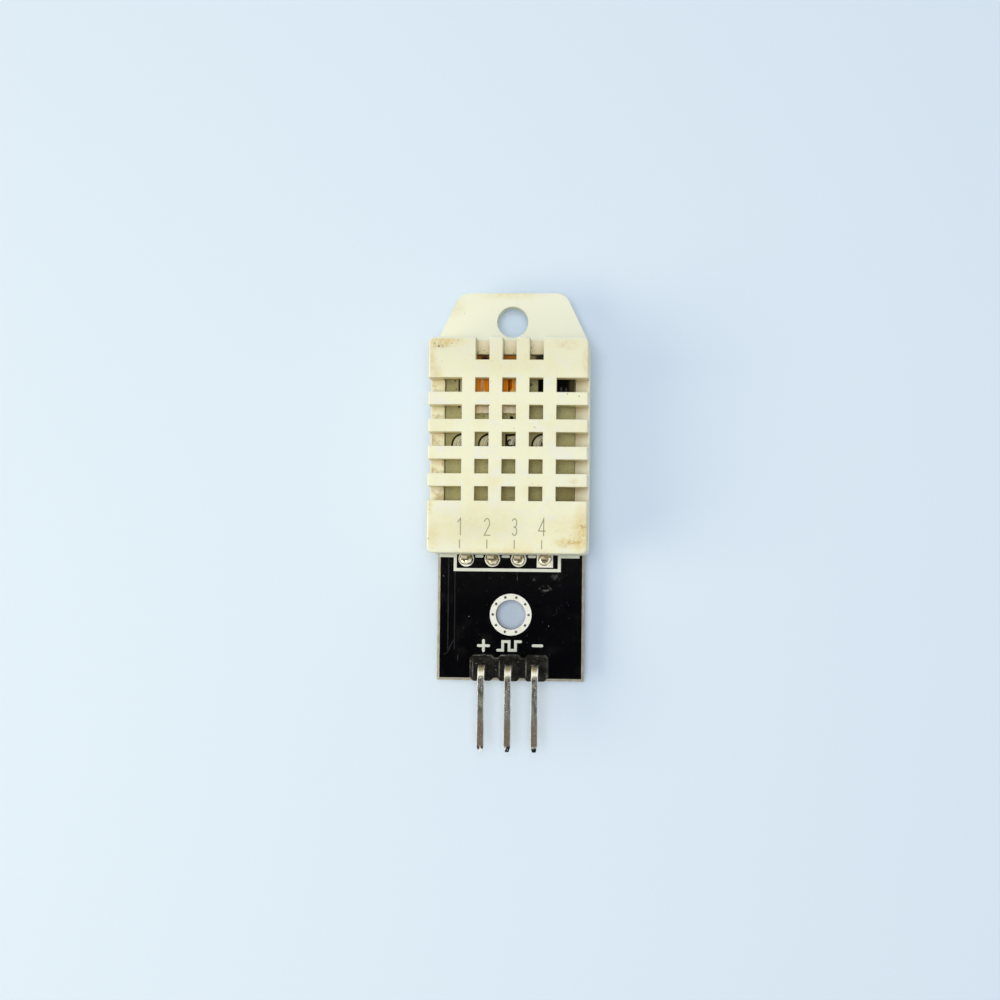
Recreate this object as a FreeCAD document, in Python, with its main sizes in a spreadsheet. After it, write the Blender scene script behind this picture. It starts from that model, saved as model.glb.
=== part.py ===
# A temperature and humidity sensor on a small carrier board.
#
# The white moulded case has a square grille in front and a hanging tab behind. It lies on the upper end
# of a black circuit board, and its four flat leads are bent down into the board. The lower end of the
# board has one plated mounting hole and a header with three square pins bent over the board's edge.
# Millimetres. X is across the case, +Y runs from the pins to the tab, +Z is out of the grille. The origin
# is under the middle of the whole outline, at the height of the tips of the soldered pins.
import FreeCAD, Part

import math
import os

import Sketcher

Vector = FreeCAD.Vector

DIMENSIONS = [
    # the case
    ("case_width", 15.1),
    ("case_length", 20.3),
    ("case_depth", 7.7),
    ("case_wall", 1.35),
    ("case_corner", 0.55),
    ("case_draft", 1.0),
    ("front_round", 0.22),
    # the grille
    ("grille_thickness", 1.8),
    ("opening_width", 1.31),
    ("opening_height", 1.36),
    ("column_spacing", 2.52),
    ("row_spacing", 2.53),
    ("slot_depth", 3.2),
    ("grille_shift", 0.1),
    ("label_height", 4.94),
    ("head_bar", 1.65),
    # the rear shell and its tab
    ("base_depth", 2.0),
    ("base_floor", 1.0),
    ("relief_gap", 0.13),
    ("lip_height", 0.8),
    ("lip_wall", 0.55),
    ("lip_clearance", 0.05),
    ("tab_length", 4.9),
    ("tab_thickness", 1.6),
    ("tab_root_width", 14.8),
    ("tab_end_width", 10.1),
    ("tab_corner", 1.4),
    ("tab_hole_radius", 1.5),
    ("tab_hole_inset", 2.8),
    # the circuit board inside the case
    ("inner_thickness", 0.8),
    ("inner_clearance", 0.05),
    ("inner_pad_drop", 8.41),
    ("inner_pad_radius", 0.7),
    ("inner_hole_radius", 0.4),
    ("inner_solder_radius", 0.55),
    ("inner_solder_height", 0.3),
    ("via_radius", 0.18),
    # the humidity element, from the inner board's upper left corner
    ("humidity_width", 5.35),
    ("humidity_length", 5.06),
    ("humidity_thickness", 0.7),
    ("humidity_rise", 0.3),
    ("humidity_inset", 1.45),
    ("element_top_gap", 0.5),
    ("film_thickness", 0.05),
    ("film_margin", 0.2),
    ("film_foot", 0.9),
    ("humidity_wire_width", 0.16),
    ("humidity_wire_spacing", 2.54),
    ("humidity_wire_shift", 0.655),
    ("humidity_wire_reach", 0.55),
    ("humidity_wire_lap", 4.2),
    ("humidity_wire_bend", 0.15),
    # the temperature element, from the inner board's upper right corner
    ("thermal_width", 3.4),
    ("thermal_length", 3.46),
    ("thermal_thickness", 1.5),
    ("thermal_inset", 0.1),
    ("thermal_bevel", 0.2),
    ("thermal_lead_width", 0.4),
    ("thermal_lead_thickness", 0.25),
    ("thermal_lead_spacing", 1.1),
    ("thermal_lead_reach", 0.45),
    # the controller behind the inner board
    ("chip_width", 8.6),
    ("chip_length", 3.9),
    ("chip_thickness", 1.3),
    ("chip_standoff", 0.1),
    ("chip_pad_gap", 0.18),
    ("chip_lead_width", 0.4),
    ("chip_lead_thickness", 0.2),
    ("chip_lead_spacing", 1.27),
    ("chip_lead_reach", 0.95),
    ("chip_lead_knee", 0.45),
    # the flat leads of the case
    ("lead_width", 0.6),
    ("lead_thickness", 0.3),
    ("lead_spacing", 2.54),
    ("lead_inset", 3.19),
    ("lead_offset", 0.41),
    ("lead_bend", 0.22),
    ("lead_clearance", 0.05),
    ("lead_stub", 0.35),
    # the carrier board
    ("board_width", 14.2),
    ("board_thickness", 1.6),
    ("board_reach", 12.13),
    ("board_cover", 18.6),
    ("board_bevel", 0.24),
    ("plating", 0.04),
    ("tail_length", 1.2),
    ("mount_radius", 1.45),
    ("mount_ring_radius", 2.02),
    ("mount_inset", 6.36),
    ("stitch_radius", 0.13),
    ("sensor_pad_radius", 0.75),
    ("sensor_hole_radius", 0.42),
    ("sensor_pad_width", 1.56),
    ("sensor_solder_radius", 0.62),
    ("sensor_solder_height", 0.55),
    ("solder_tail", 0.9),
    ("solder_collar", 0.03),
    # the header
    ("header_spacing", 2.54),
    ("header_width", 2.46),
    ("header_height", 2.54),
    ("header_inset", 0.1),
    ("header_trim", 0.1),
    ("header_nick", 0.32),
    ("header_notch_width", 0.96),
    ("header_notch_floor", 0.4),
    ("header_notch_depth", 0.3),
    ("header_pad_radius", 0.85),
    ("header_hole_gap", 0.05),
    ("header_solder_radius", 0.7),
    ("header_pad_width", 1.7),
    ("pin_width", 0.64),
    ("pin_bend", 0.6),
    ("pin_rise", 0.12),
    ("pin_reach", 7.81),
    ("pin_point", 0.15),
    ("pin_point_length", 0.55),
    # the two chips behind the carrier board
    ("ceramic_length", 2.0),
    ("ceramic_width", 1.25),
    ("resistor_thickness", 0.45),
    ("capacitor_thickness", 0.8),
    ("ceramic_end", 0.35),
    ("ceramic_end_lip", 0.02),
    ("ceramic_rise", 8.2),
    ("ceramic_spread", 3.4),
    ("land_overhang", 0.45),
    ("land_thickness", 0.04),
    ("fillet_share", 0.6),
    # the small ceramic behind the inner board
    ("inner_ceramic_length", 1.6),
    ("inner_ceramic_width", 0.8),
    ("inner_ceramic_thickness", 0.7),
    ("inner_ceramic_end", 0.3),
    ("inner_ceramic_drop", 2.49),
]

# Places that several pieces share, as formulas of the sizes above.
OVERALL = ("(sizes.case_length + sizes.tab_length + sizes.board_reach - sizes.header_inset"
           " - sizes.header_width / 2 + sizes.pin_reach)")
CASE_Y = f"({OVERALL} / 2 - sizes.case_length - sizes.tab_length)"
BOARD_REAR = "sizes.tail_length"
BOARD_TOP = "(sizes.tail_length + sizes.board_thickness)"
PAD_TOP = "(sizes.tail_length + sizes.board_thickness + sizes.plating)"
LEAD_Y = f"({CASE_Y} - sizes.lead_offset)"
MOUNT_Y = f"({CASE_Y} - sizes.board_reach + sizes.mount_inset)"
HEADER_Y = f"({CASE_Y} - sizes.board_reach + sizes.header_inset + sizes.header_width / 2)"
INNER_REAR = "(sizes.base_depth + sizes.lip_height)"
INNER_TOP = "(sizes.base_depth + sizes.lip_height + sizes.inner_thickness)"
INNER_HALF = "(sizes.case_width / 2 - sizes.case_wall - sizes.inner_clearance)"
INNER_FOOT = "(sizes.case_wall + sizes.inner_clearance)"
INNER_HEAD = "(sizes.case_length - sizes.case_wall - sizes.inner_clearance)"
INNER_PAD = f"({INNER_HEAD} - sizes.inner_pad_drop)"
STITCH_CIRCLE = "((sizes.mount_radius + sizes.mount_ring_radius) / 2)"
BASE_RELIEF = "(sizes.sensor_pad_width / 2 - sizes.lead_offset + sizes.relief_gap)"
HEADER_HOLE = "(sizes.pin_width / sqrt(2) + sizes.header_hole_gap)"
SLOT_FLOOR = "(sizes.case_depth - sizes.slot_depth)"
HEADER_TOP = f"({PAD_TOP} + sizes.header_height)"
LEADS = 4
HEADER_PINS = 3
GRILLE_COLUMNS = 3
GRILLE_ROWS = 5
CHIP_LEADS = 7
STITCHES = 10
# The inner board's three vias, by their distances from its upper right corner.
VIAS = ((4.35, 2.76), (6.05, 5.91), (4.9, 13.26))
# How far a cut runs past the face that it opens.
CUT_ROOM = "1"

document = FreeCAD.newDocument("climate_sensor")
sizes = document.addObject("Spreadsheet::Sheet", "sizes")
for row, (alias, number) in enumerate(DIMENSIONS, start=1):
    sizes.set(f"A{row}", alias)
    sizes.set(f"B{row}", str(number))
    sizes.setAlias(f"B{row}", alias)
document.recompute()
trial = document.addObject("Spreadsheet::Sheet", "trial")

subparts = []


def value(formula):
    """The number that a formula of the sheet's sizes gives, to draw a sketch near its solved place."""
    trial.set("A1", f"={formula}")
    trial.recompute()
    return float(trial.get("A1"))


def bind(item, prop, formula):
    item.setExpression(prop, formula)


def place(item, x="0", y="0", z="0"):
    for axis, formula in (("x", x), ("y", y), ("z", z)):
        bind(item, f".Placement.Base.{axis}", formula)


def keep(item):
    """Puts a finished piece on the list of those that are written out."""
    subparts.append(item)
    return item


def new_body(label, x="0", y="0", z="0", kept=True):
    body = document.addObject("PartDesign::Body", label)
    body.Label = label
    place(body, x, y, z)
    return keep(body) if kept else body


def new_sketch(body, label, plane="XY_Plane", offset=None):
    sketch = body.newObject("Sketcher::SketchObject", f"{body.Name}_{label}")
    origin_plane = next(item for item in body.Origin.OriginFeatures if item.Role == plane)
    sketch.AttachmentSupport = [(origin_plane, "")]
    sketch.MapMode = "FlatFace"
    if offset:
        bind(sketch, ".AttachmentOffset.Base.z", offset)
    return sketch


def fix(sketch, kind, formula, *geometry):
    """A dimension on the sketch, held to a formula."""
    index = sketch.addConstraint(Sketcher.Constraint(kind, *geometry, value(formula)))
    bind(sketch, f"Constraints[{index}]", formula)


def outline(sketch, corners, arcs=None):
    """A closed loop through the corners, each held by two formulas.

    arcs gives, for the side that starts at a corner's number, the formula of its radius and the way it
    bulges: +1 to the right of the side's direction and -1 to its left.
    """
    arcs = arcs or {}
    first = sketch.GeometryCount
    points = [Vector(value(x), value(y), 0) for x, y in corners]
    count = len(points)
    ends = []
    for number, start in enumerate(points):
        end = points[(number + 1) % count]
        if number in arcs:
            # An arc runs anticlockwise, so one that bulges to the left runs from the side's end.
            radius, side = value(arcs[number][0]), arcs[number][1]
            chord = end - start
            normal = Vector(chord.y, -chord.x, 0).normalize() * side
            depth = math.sqrt(max(radius * radius - chord.Length ** 2 / 4, 0))
            centre = (start + end) / 2 - normal * depth
            tips = [math.atan2(tip.y - centre.y, tip.x - centre.x) for tip in (start, end)[::side]]
            if tips[1] < tips[0]:
                tips[1] += 2 * math.pi
            sketch.addGeometry(Part.ArcOfCircle(Part.Circle(centre, Vector(0, 0, 1), radius), *tips), False)
            ends.append((1, 2) if side > 0 else (2, 1))
        else:
            sketch.addGeometry(Part.LineSegment(start, end), False)
            ends.append((1, 2))
    for number in range(count):
        after = (number + 1) % count
        sketch.addConstraint(Sketcher.Constraint(
            "Coincident", first + number, ends[number][1], first + after, ends[after][0]))
    for number, (x, y) in enumerate(corners):
        fix(sketch, "DistanceX", x, -1, 1, first + number, ends[number][0])
        fix(sketch, "DistanceY", y, -1, 1, first + number, ends[number][0])
    for number in arcs:
        fix(sketch, "Radius", arcs[number][0], first + number)


def rectangle(sketch, left, bottom, right, top):
    outline(sketch, [(left, bottom), (right, bottom), (right, top), (left, top)])


def circle(sketch, x, y, radius):
    number = sketch.GeometryCount
    centre = Vector(value(x), value(y), 0)
    sketch.addGeometry(Part.Circle(centre, Vector(0, 0, 1), value(radius)), False)
    fix(sketch, "DistanceX", x, -1, 1, number, 3)
    fix(sketch, "DistanceY", y, -1, 1, number, 3)
    fix(sketch, "Radius", radius, number)


def pad(body, sketch, length, symmetric=False, draft=None):
    feature = body.newObject("PartDesign::Pad", f"{sketch.Name}_pad")
    feature.Profile = sketch
    bind(feature, "Length", length)
    if symmetric:
        feature.SideType = "Symmetric"
    if draft:
        bind(feature, "TaperAngle", draft)
    document.recompute()
    return feature


def cut(body, sketch, length):
    """Removes what stands on the sketch's plane, on the side that its normal points to."""
    before = body.Shape.Volume
    feature = body.newObject("PartDesign::Pocket", f"{sketch.Name}_pocket")
    feature.Profile = sketch
    feature.Reversed = True
    bind(feature, "Length", length)
    document.recompute()
    if feature.Shape.Volume >= before:
        raise ValueError(f"{feature.Name} removes nothing")
    return feature


def turn(body, sketch):
    """A full turn about the sketch's upright axis."""
    feature = body.newObject("PartDesign::Revolution", f"{sketch.Name}_turn")
    feature.Profile = sketch
    feature.ReferenceAxis = (sketch, ["V_Axis"])
    feature.Angle = 360
    document.recompute()
    return feature


def edges_of(feature, wanted):
    """The names of the edges whose middle and direction pass the test."""
    names = []
    for number, edge in enumerate(feature.Shape.Edges, start=1):
        middle = edge.valueAt((edge.FirstParameter + edge.LastParameter) / 2)
        direction = edge.tangentAt((edge.FirstParameter + edge.LastParameter) / 2)
        if wanted(middle, direction, edge):
            names.append(f"Edge{number}")
    if not names:
        raise ValueError(f"{feature.Name} has no such edge")
    return names


def soften(body, kind, feature, edges, size):
    """A fillet or a chamfer on the named edges."""
    done = body.newObject(f"PartDesign::{kind}", f"{feature.Name}_{kind.lower()}")
    done.Base = (feature, edges)
    bind(done, "Radius" if kind == "Fillet" else "Size", size)
    document.recompute()
    return done


def near(one, other):
    return abs(one - other) < 1e-4


def column(number, count, pitch):
    """The formula of one place in a row of count places spread evenly about zero."""
    return f"({number - (count - 1) / 2} * {pitch})"


def lead_x(number):
    """Leads are counted from the case's left side, as the real case has them off its middle."""
    return f"(sizes.lead_inset - sizes.case_width / 2 + {number} * sizes.lead_spacing)"


def grille_x(number):
    return f"({column(number, GRILLE_COLUMNS, 'sizes.column_spacing')} + sizes.grille_shift)"


def header_x(number):
    return column(number, HEADER_PINS, "sizes.header_spacing")


def box(label, length, width, height, x, y, z):
    """A block whose lower corner is at x, y, z."""
    item = document.addObject("Part::Box", label)
    bind(item, "Length", length)
    bind(item, "Width", width)
    bind(item, "Height", height)
    place(item, x, y, z)
    return item


def group(label, items):
    """Alike pieces that share one name, as separate solids."""
    compound = document.addObject("Part::Compound", label)
    compound.Label = label
    compound.Links = items
    return keep(compound)


def make_grille_cover():
    """The front of the case: a drafted box, open behind, with rows of openings that run out through both
    sides, and notches through its upper wall."""
    body = new_body("grille_cover", y=CASE_Y, z=BOARD_TOP)
    half = "sizes.case_width / 2"
    block = new_sketch(body, "block", offset="sizes.base_depth")
    rectangle(block, f"-{half}", "0", half, "sizes.case_length")
    shell = pad(body, block, "sizes.case_depth - sizes.base_depth", draft="-sizes.case_draft")
    front = value("sizes.case_depth")
    upright = edges_of(shell, lambda middle, direction, edge: abs(direction.z) > 0.9)
    shell = soften(body, "Fillet", shell, upright, "sizes.case_corner")
    rim = edges_of(shell, lambda middle, direction, edge: near(middle.z, front) and abs(direction.z) < 0.1)
    shell = soften(body, "Fillet", shell, rim, "sizes.front_round")
    hollow = new_sketch(body, "hollow", offset="sizes.base_depth")
    rectangle(hollow, f"-({half} - sizes.case_wall)", "sizes.case_wall",
              f"{half} - sizes.case_wall", "sizes.case_length - sizes.case_wall")
    cut(body, hollow, "sizes.case_depth - sizes.base_depth - sizes.grille_thickness")

    # One row: the small openings in the middle, and one long opening out through each side.
    openings = new_sketch(body, "row", offset=SLOT_FLOOR)
    low = "sizes.label_height"
    high = "sizes.label_height + sizes.opening_height"
    for number in range(GRILLE_COLUMNS):
        middle = grille_x(number)
        rectangle(openings, f"{middle} - sizes.opening_width / 2", low,
                  f"{middle} + sizes.opening_width / 2", high)
    rectangle(openings, f"-{half} - {CUT_ROOM}", low, f"{grille_x(-1)} + sizes.opening_width / 2", high)
    rectangle(openings, f"{grille_x(GRILLE_COLUMNS)} - sizes.opening_width / 2", low,
              f"{half} + {CUT_ROOM}", high)
    row = cut(body, openings, f"sizes.slot_depth + {CUT_ROOM}")
    rows = body.newObject("PartDesign::LinearPattern", "grille_rows")
    rows.Originals = [row]
    rows.Direction = (openings, ["V_Axis"])
    rows.Mode = "Extent"
    rows.Occurrences = GRILLE_ROWS
    bind(rows, "Length", f"{GRILLE_ROWS - 1} * sizes.row_spacing")
    body.Tip = rows
    document.recompute()

    notches = new_sketch(body, "notches", offset=SLOT_FLOOR)
    bottom = (f"sizes.label_height + {GRILLE_ROWS - 1} * sizes.row_spacing"
              " + sizes.opening_height + sizes.head_bar")
    for number in range(GRILLE_COLUMNS):
        middle = grille_x(number)
        rectangle(notches, f"{middle} - sizes.opening_width / 2", bottom,
                  f"{middle} + sizes.opening_width / 2", f"sizes.case_length + {CUT_ROOM}")
    cut(body, notches, f"sizes.slot_depth + {CUT_ROOM}")

    exits = new_sketch(body, "lead_exits", offset="sizes.base_depth")
    for number in range(LEADS):
        reach = "(sizes.lead_width / 2 + sizes.lead_clearance)"
        rectangle(exits, f"{lead_x(number)} - {reach}", f"-{CUT_ROOM}",
                  f"{lead_x(number)} + {reach}", f"sizes.case_wall + {CUT_ROOM} / 2")
    cut(body, exits, "sizes.lip_height + sizes.lead_clearance")


def make_rear_shell():
    """The back of the case: a shallow tray whose lip stands inside the cover and carries the inner board,
    drawn out into a tapered tab with a hole to hang it by."""
    body = new_body("rear_shell", y=CASE_Y, z=BOARD_TOP)
    half = "sizes.case_width / 2"
    plate = new_sketch(body, "plate")
    rectangle(plate, f"-{half}", "0", half, "sizes.case_length")
    tray = pad(body, plate, "sizes.base_depth")
    upright = edges_of(tray, lambda middle, direction, edge: abs(direction.z) > 0.9)
    tray = soften(body, "Fillet", tray, upright, "sizes.case_corner")
    foot = edges_of(tray, lambda middle, direction, edge: near(middle.z, 0) and near(middle.y, 0))
    soften(body, "Chamfer", tray, foot, BASE_RELIEF)

    tab = new_sketch(body, "tab")
    end = "sizes.case_length + sizes.tab_length"
    root = "sizes.case_length - sizes.case_wall"
    outline(tab, [("-sizes.tab_root_width / 2", root), ("sizes.tab_root_width / 2", root),
                  ("sizes.tab_root_width / 2", "sizes.case_length"), ("sizes.tab_end_width / 2", end),
                  ("-sizes.tab_end_width / 2", end), ("-sizes.tab_root_width / 2", "sizes.case_length")])
    ear = pad(body, tab, "sizes.tab_thickness")
    tip = value(end)
    corners = edges_of(ear, lambda middle, direction, edge: abs(direction.z) > 0.9 and near(middle.y, tip))
    ear = soften(body, "Fillet", ear, corners, "sizes.tab_corner")

    lip = new_sketch(body, "lip", offset="sizes.base_floor")
    inset = "(sizes.case_wall + sizes.lip_clearance)"
    rectangle(lip, f"-({half} - {inset})", inset, f"{half} - {inset}", f"sizes.case_length - {inset}")
    pad(body, lip, f"{INNER_REAR} - sizes.base_floor")
    hollow = new_sketch(body, "hollow", offset="sizes.base_floor")
    inset = "(sizes.case_wall + sizes.lip_clearance + sizes.lip_wall)"
    rectangle(hollow, f"-({half} - {inset})", inset, f"{half} - {inset}", f"sizes.case_length - {inset}")
    cut(body, hollow, f"{INNER_REAR} - sizes.base_floor + {CUT_ROOM}")

    exits = new_sketch(body, "lead_exits",
                       offset=f"{INNER_REAR} - sizes.plating - sizes.lead_thickness - sizes.lead_clearance")
    for number in range(LEADS):
        reach = "(sizes.lead_width / 2 + sizes.lead_clearance)"
        rectangle(exits, f"{lead_x(number)} - {reach}", f"-{CUT_ROOM}",
                  f"{lead_x(number)} + {reach}", f"{inset} + {CUT_ROOM} / 2")
    cut(body, exits, f"sizes.plating + sizes.lead_thickness + sizes.lead_clearance + {CUT_ROOM}")

    hole = new_sketch(body, "tab_hole", offset=f"-{CUT_ROOM}")
    circle(hole, "0", f"{end} - sizes.tab_hole_inset", "sizes.tab_hole_radius")
    cut(body, hole, f"sizes.tab_thickness + 2 * {CUT_ROOM}")


def make_inner_board():
    """The circuit board in the case, lying on the rear shell's lip, drilled for the leads and three vias."""
    body = new_body("inner_board", y=CASE_Y, z=f"{BOARD_TOP} + {INNER_REAR}")
    plate = new_sketch(body, "plate")
    rectangle(plate, f"-{INNER_HALF}", INNER_FOOT, INNER_HALF, INNER_HEAD)
    pad(body, plate, "sizes.inner_thickness")
    holes = new_sketch(body, "holes", offset=f"-{CUT_ROOM}")
    for number in range(LEADS):
        circle(holes, lead_x(number), INNER_PAD, "sizes.inner_hole_radius + sizes.plating")
    for inset, drop in VIAS:
        circle(holes, f"{INNER_HALF} - {inset}", f"{INNER_HEAD} - {drop}", "sizes.via_radius")
    cut(body, holes, f"sizes.inner_thickness + 2 * {CUT_ROOM}")


def plated_hole(label, x, y, z, thickness, hole, land):
    """The plating of one hole: a thin barrel with a flat land on each face of the board."""
    body = new_body(label, x, y, z)
    section = new_sketch(body, "section", "XZ_Plane")
    barrel = f"{hole} + sizes.plating"
    outline(section, [(hole, "-sizes.plating"), (land, "-sizes.plating"), (land, "0"), (barrel, "0"),
                      (barrel, thickness), (land, thickness), (land, f"{thickness} + sizes.plating"),
                      (hole, f"{thickness} + sizes.plating")])
    turn(body, section)
    return body


def square_plated_hole(label, x, y, z, thickness, hole, land):
    """The same with square lands, which mark the first pin of a row."""
    body = new_body(label, x, y, z)
    barrel = new_sketch(body, "barrel", offset="-sizes.plating")
    circle(barrel, "0", "0", f"{hole} + sizes.plating")
    pad(body, barrel, f"{thickness} + 2 * sizes.plating")
    for name, height in (("rear_land", "-sizes.plating"), ("front_land", thickness)):
        sketch = new_sketch(body, name, offset=height)
        rectangle(sketch, f"-{land}", f"-{land}", land, land)
        pad(body, sketch, "sizes.plating")
    bore = new_sketch(body, "bore", offset=f"-{CUT_ROOM}")
    circle(bore, "0", "0", hole)
    cut(body, bore, f"{thickness} + 2 * {CUT_ROOM}")
    return body


def solder_joint(label, x, y, z, thickness, hole, spread, wire, front=None, rear=None):
    """Solder that fills one plated hole and climbs the pin as a hollow-sided cone on the board's faces.

    front and rear are the heights of the two cones, and wire is the pin's size across and along the
    board, which is left open.
    """
    body = new_body(label, x, y, z)
    across, along = wire
    collar = f"(sqrt({across}^2 + {along}^2) / 2 + sizes.solder_collar)"
    top = f"({thickness} + sizes.plating)"
    corners = []
    arcs = {}
    if rear:
        arcs[1] = (f"1.2 * sqrt(({spread} - {collar})^2 + {rear}^2)", -1)
        corners += [("0", f"-sizes.plating - {rear}"), (collar, f"-sizes.plating - {rear}"),
                    (spread, "-sizes.plating")]
    else:
        corners.append(("0", "-sizes.plating"))
    corners += [(hole, "-sizes.plating"), (hole, top)]
    if front:
        arcs[len(corners)] = (f"1.2 * sqrt(({spread} - {collar})^2 + {front}^2)", -1)
        corners += [(spread, top), (collar, f"{top} + {front}"), ("0", f"{top} + {front}")]
    else:
        corners.append(("0", top))
    section = new_sketch(body, "section", "XZ_Plane")
    outline(section, corners, arcs)
    turn(body, section)
    opening = new_sketch(body, "opening", offset=f"-{rear or 0} - {CUT_ROOM}")
    rectangle(opening, f"-{across} / 2", f"-{along} / 2", f"{across} / 2", f"{along} / 2")
    cut(body, opening, f"{rear or 0} + {front or 0} + {thickness} + 3 * {CUT_ROOM}")


def make_carrier_board():
    """The black board, bevelled along its edges, drilled for the mounting hole, the case's four leads and
    the header's three pins."""
    body = new_body("carrier_board", y=CASE_Y, z=BOARD_REAR)
    plate = new_sketch(body, "plate")
    rectangle(plate, "-sizes.board_width / 2", "-sizes.board_reach",
              "sizes.board_width / 2", "sizes.board_cover")
    slab = pad(body, plate, "sizes.board_thickness")
    rims = edges_of(slab, lambda middle, direction, edge: abs(direction.z) < 0.1)
    soften(body, "Chamfer", slab, rims, "sizes.board_bevel")
    holes = new_sketch(body, "holes", offset=f"-{CUT_ROOM}")
    mount = "sizes.mount_inset - sizes.board_reach"
    circle(holes, "0", mount, "sizes.mount_radius")
    for x, y in stitch_places():
        circle(holes, x, f"{mount} + {y}", "sizes.stitch_radius + sizes.plating")
    for number in range(LEADS):
        circle(holes, lead_x(number), "-sizes.lead_offset", "sizes.sensor_hole_radius + sizes.plating")
    for number in range(HEADER_PINS):
        circle(holes, header_x(number), "sizes.header_inset + sizes.header_width / 2 - sizes.board_reach",
               f"{HEADER_HOLE} + sizes.plating")
    cut(body, holes, f"sizes.board_thickness + 2 * {CUT_ROOM}")


def stitch_places():
    """Where the small vias stand round the mounting hole."""
    for number in range(STITCHES):
        angle = math.radians(360 * number / STITCHES)
        yield (f"({math.cos(angle):.9f} * {STITCH_CIRCLE})",
               f"({math.sin(angle):.9f} * {STITCH_CIRCLE})")


def make_mounting_ring():
    """The mounting hole's two flat rings, joined through the board by the barrels of ten vias."""
    body = new_body("mounting_ring", y=MOUNT_Y, z=BOARD_REAR)
    barrels = new_sketch(body, "barrels")
    bores = new_sketch(body, "bores", offset=f"-{CUT_ROOM}")
    for x, y in stitch_places():
        circle(barrels, x, y, "sizes.stitch_radius + sizes.plating")
        circle(bores, x, y, "sizes.stitch_radius")
    pad(body, barrels, "sizes.board_thickness")
    for name, height in (("rear_ring", "-sizes.plating"), ("front_ring", "sizes.board_thickness")):
        ring = new_sketch(body, name, offset=height)
        circle(ring, "0", "0", "sizes.mount_ring_radius")
        circle(ring, "0", "0", "sizes.mount_radius")
        pad(body, ring, "sizes.plating")
    cut(body, bores, f"sizes.board_thickness + 2 * {CUT_ROOM}")


def make_sensor_leads():
    """The case's four flat leads, each with its pads and solder.

    A lead stands through the inner board, runs along behind it, comes out at the case's lower end and
    turns down through the carrier board.
    """
    thick = "sizes.lead_thickness"
    run = f"({BOARD_TOP} + {INNER_REAR} - sizes.plating)"
    reach = f"(sizes.lead_offset + {INNER_PAD})"
    wire = ("sizes.lead_width", thick)
    for number in range(LEADS):
        x = lead_x(number)
        body = new_body(f"sensor_lead_{number + 1}", x, LEAD_Y)
        side = new_sketch(body, "side", "YZ_Plane")
        outline(side, [(f"-{thick} / 2", "0"), (f"{thick} / 2", "0"), (f"{thick} / 2", f"{run} - {thick}"),
                       (f"{reach} + {thick} / 2", f"{run} - {thick}"),
                       (f"{reach} + {thick} / 2", f"{BOARD_TOP} + {INNER_TOP} + sizes.lead_stub"),
                       (f"{reach} - {thick} / 2", f"{BOARD_TOP} + {INNER_TOP} + sizes.lead_stub"),
                       (f"{reach} - {thick} / 2", run), (f"-{thick} / 2", run)])
        strip = pad(body, side, "sizes.lead_width", symmetric=True)
        inner = (value(f"{thick} / 2"), value(f"{run} - {thick}"))
        outer = (value(f"-{thick} / 2"), value(run))
        foot = (value(f"{reach} + {thick} / 2"), value(f"{run} - {thick}"))
        bend = edges_of(strip, lambda middle, direction, edge: at(middle, inner))
        strip = soften(body, "Fillet", strip, bend, "sizes.lead_bend")
        bend = edges_of(strip, lambda middle, direction, edge: at(middle, outer) or at(middle, foot))
        soften(body, "Fillet", strip, bend, f"sizes.lead_bend + {thick}")

        if number == LEADS - 1:
            square_plated_hole(f"sensor_pad_{number + 1}", x, LEAD_Y, BOARD_REAR, "sizes.board_thickness",
                               "sizes.sensor_hole_radius", "sizes.sensor_pad_width / 2")
        else:
            plated_hole(f"sensor_pad_{number + 1}", x, LEAD_Y, BOARD_REAR, "sizes.board_thickness",
                        "sizes.sensor_hole_radius", "sizes.sensor_pad_radius")
        solder_joint(f"sensor_solder_{number + 1}", x, LEAD_Y, BOARD_REAR, "sizes.board_thickness",
                     "sizes.sensor_hole_radius", "sizes.sensor_solder_radius", wire,
                     front="sizes.sensor_solder_height", rear="sizes.solder_tail")
        far = f"({CASE_Y} + {INNER_PAD})"
        plated_hole(f"inner_pad_{number + 1}", x, far, f"{BOARD_TOP} + {INNER_REAR}",
                    "sizes.inner_thickness", "sizes.inner_hole_radius", "sizes.inner_pad_radius")
        solder_joint(f"inner_solder_{number + 1}", x, far, f"{BOARD_TOP} + {INNER_REAR}",
                     "sizes.inner_thickness", "sizes.inner_hole_radius", "sizes.inner_solder_radius", wire,
                     front="sizes.inner_solder_height")


def at(middle, place):
    """Whether an edge that runs across the piece lies at this place in its side view."""
    return near(middle.y, place[0]) and near(middle.z, place[1])


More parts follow.
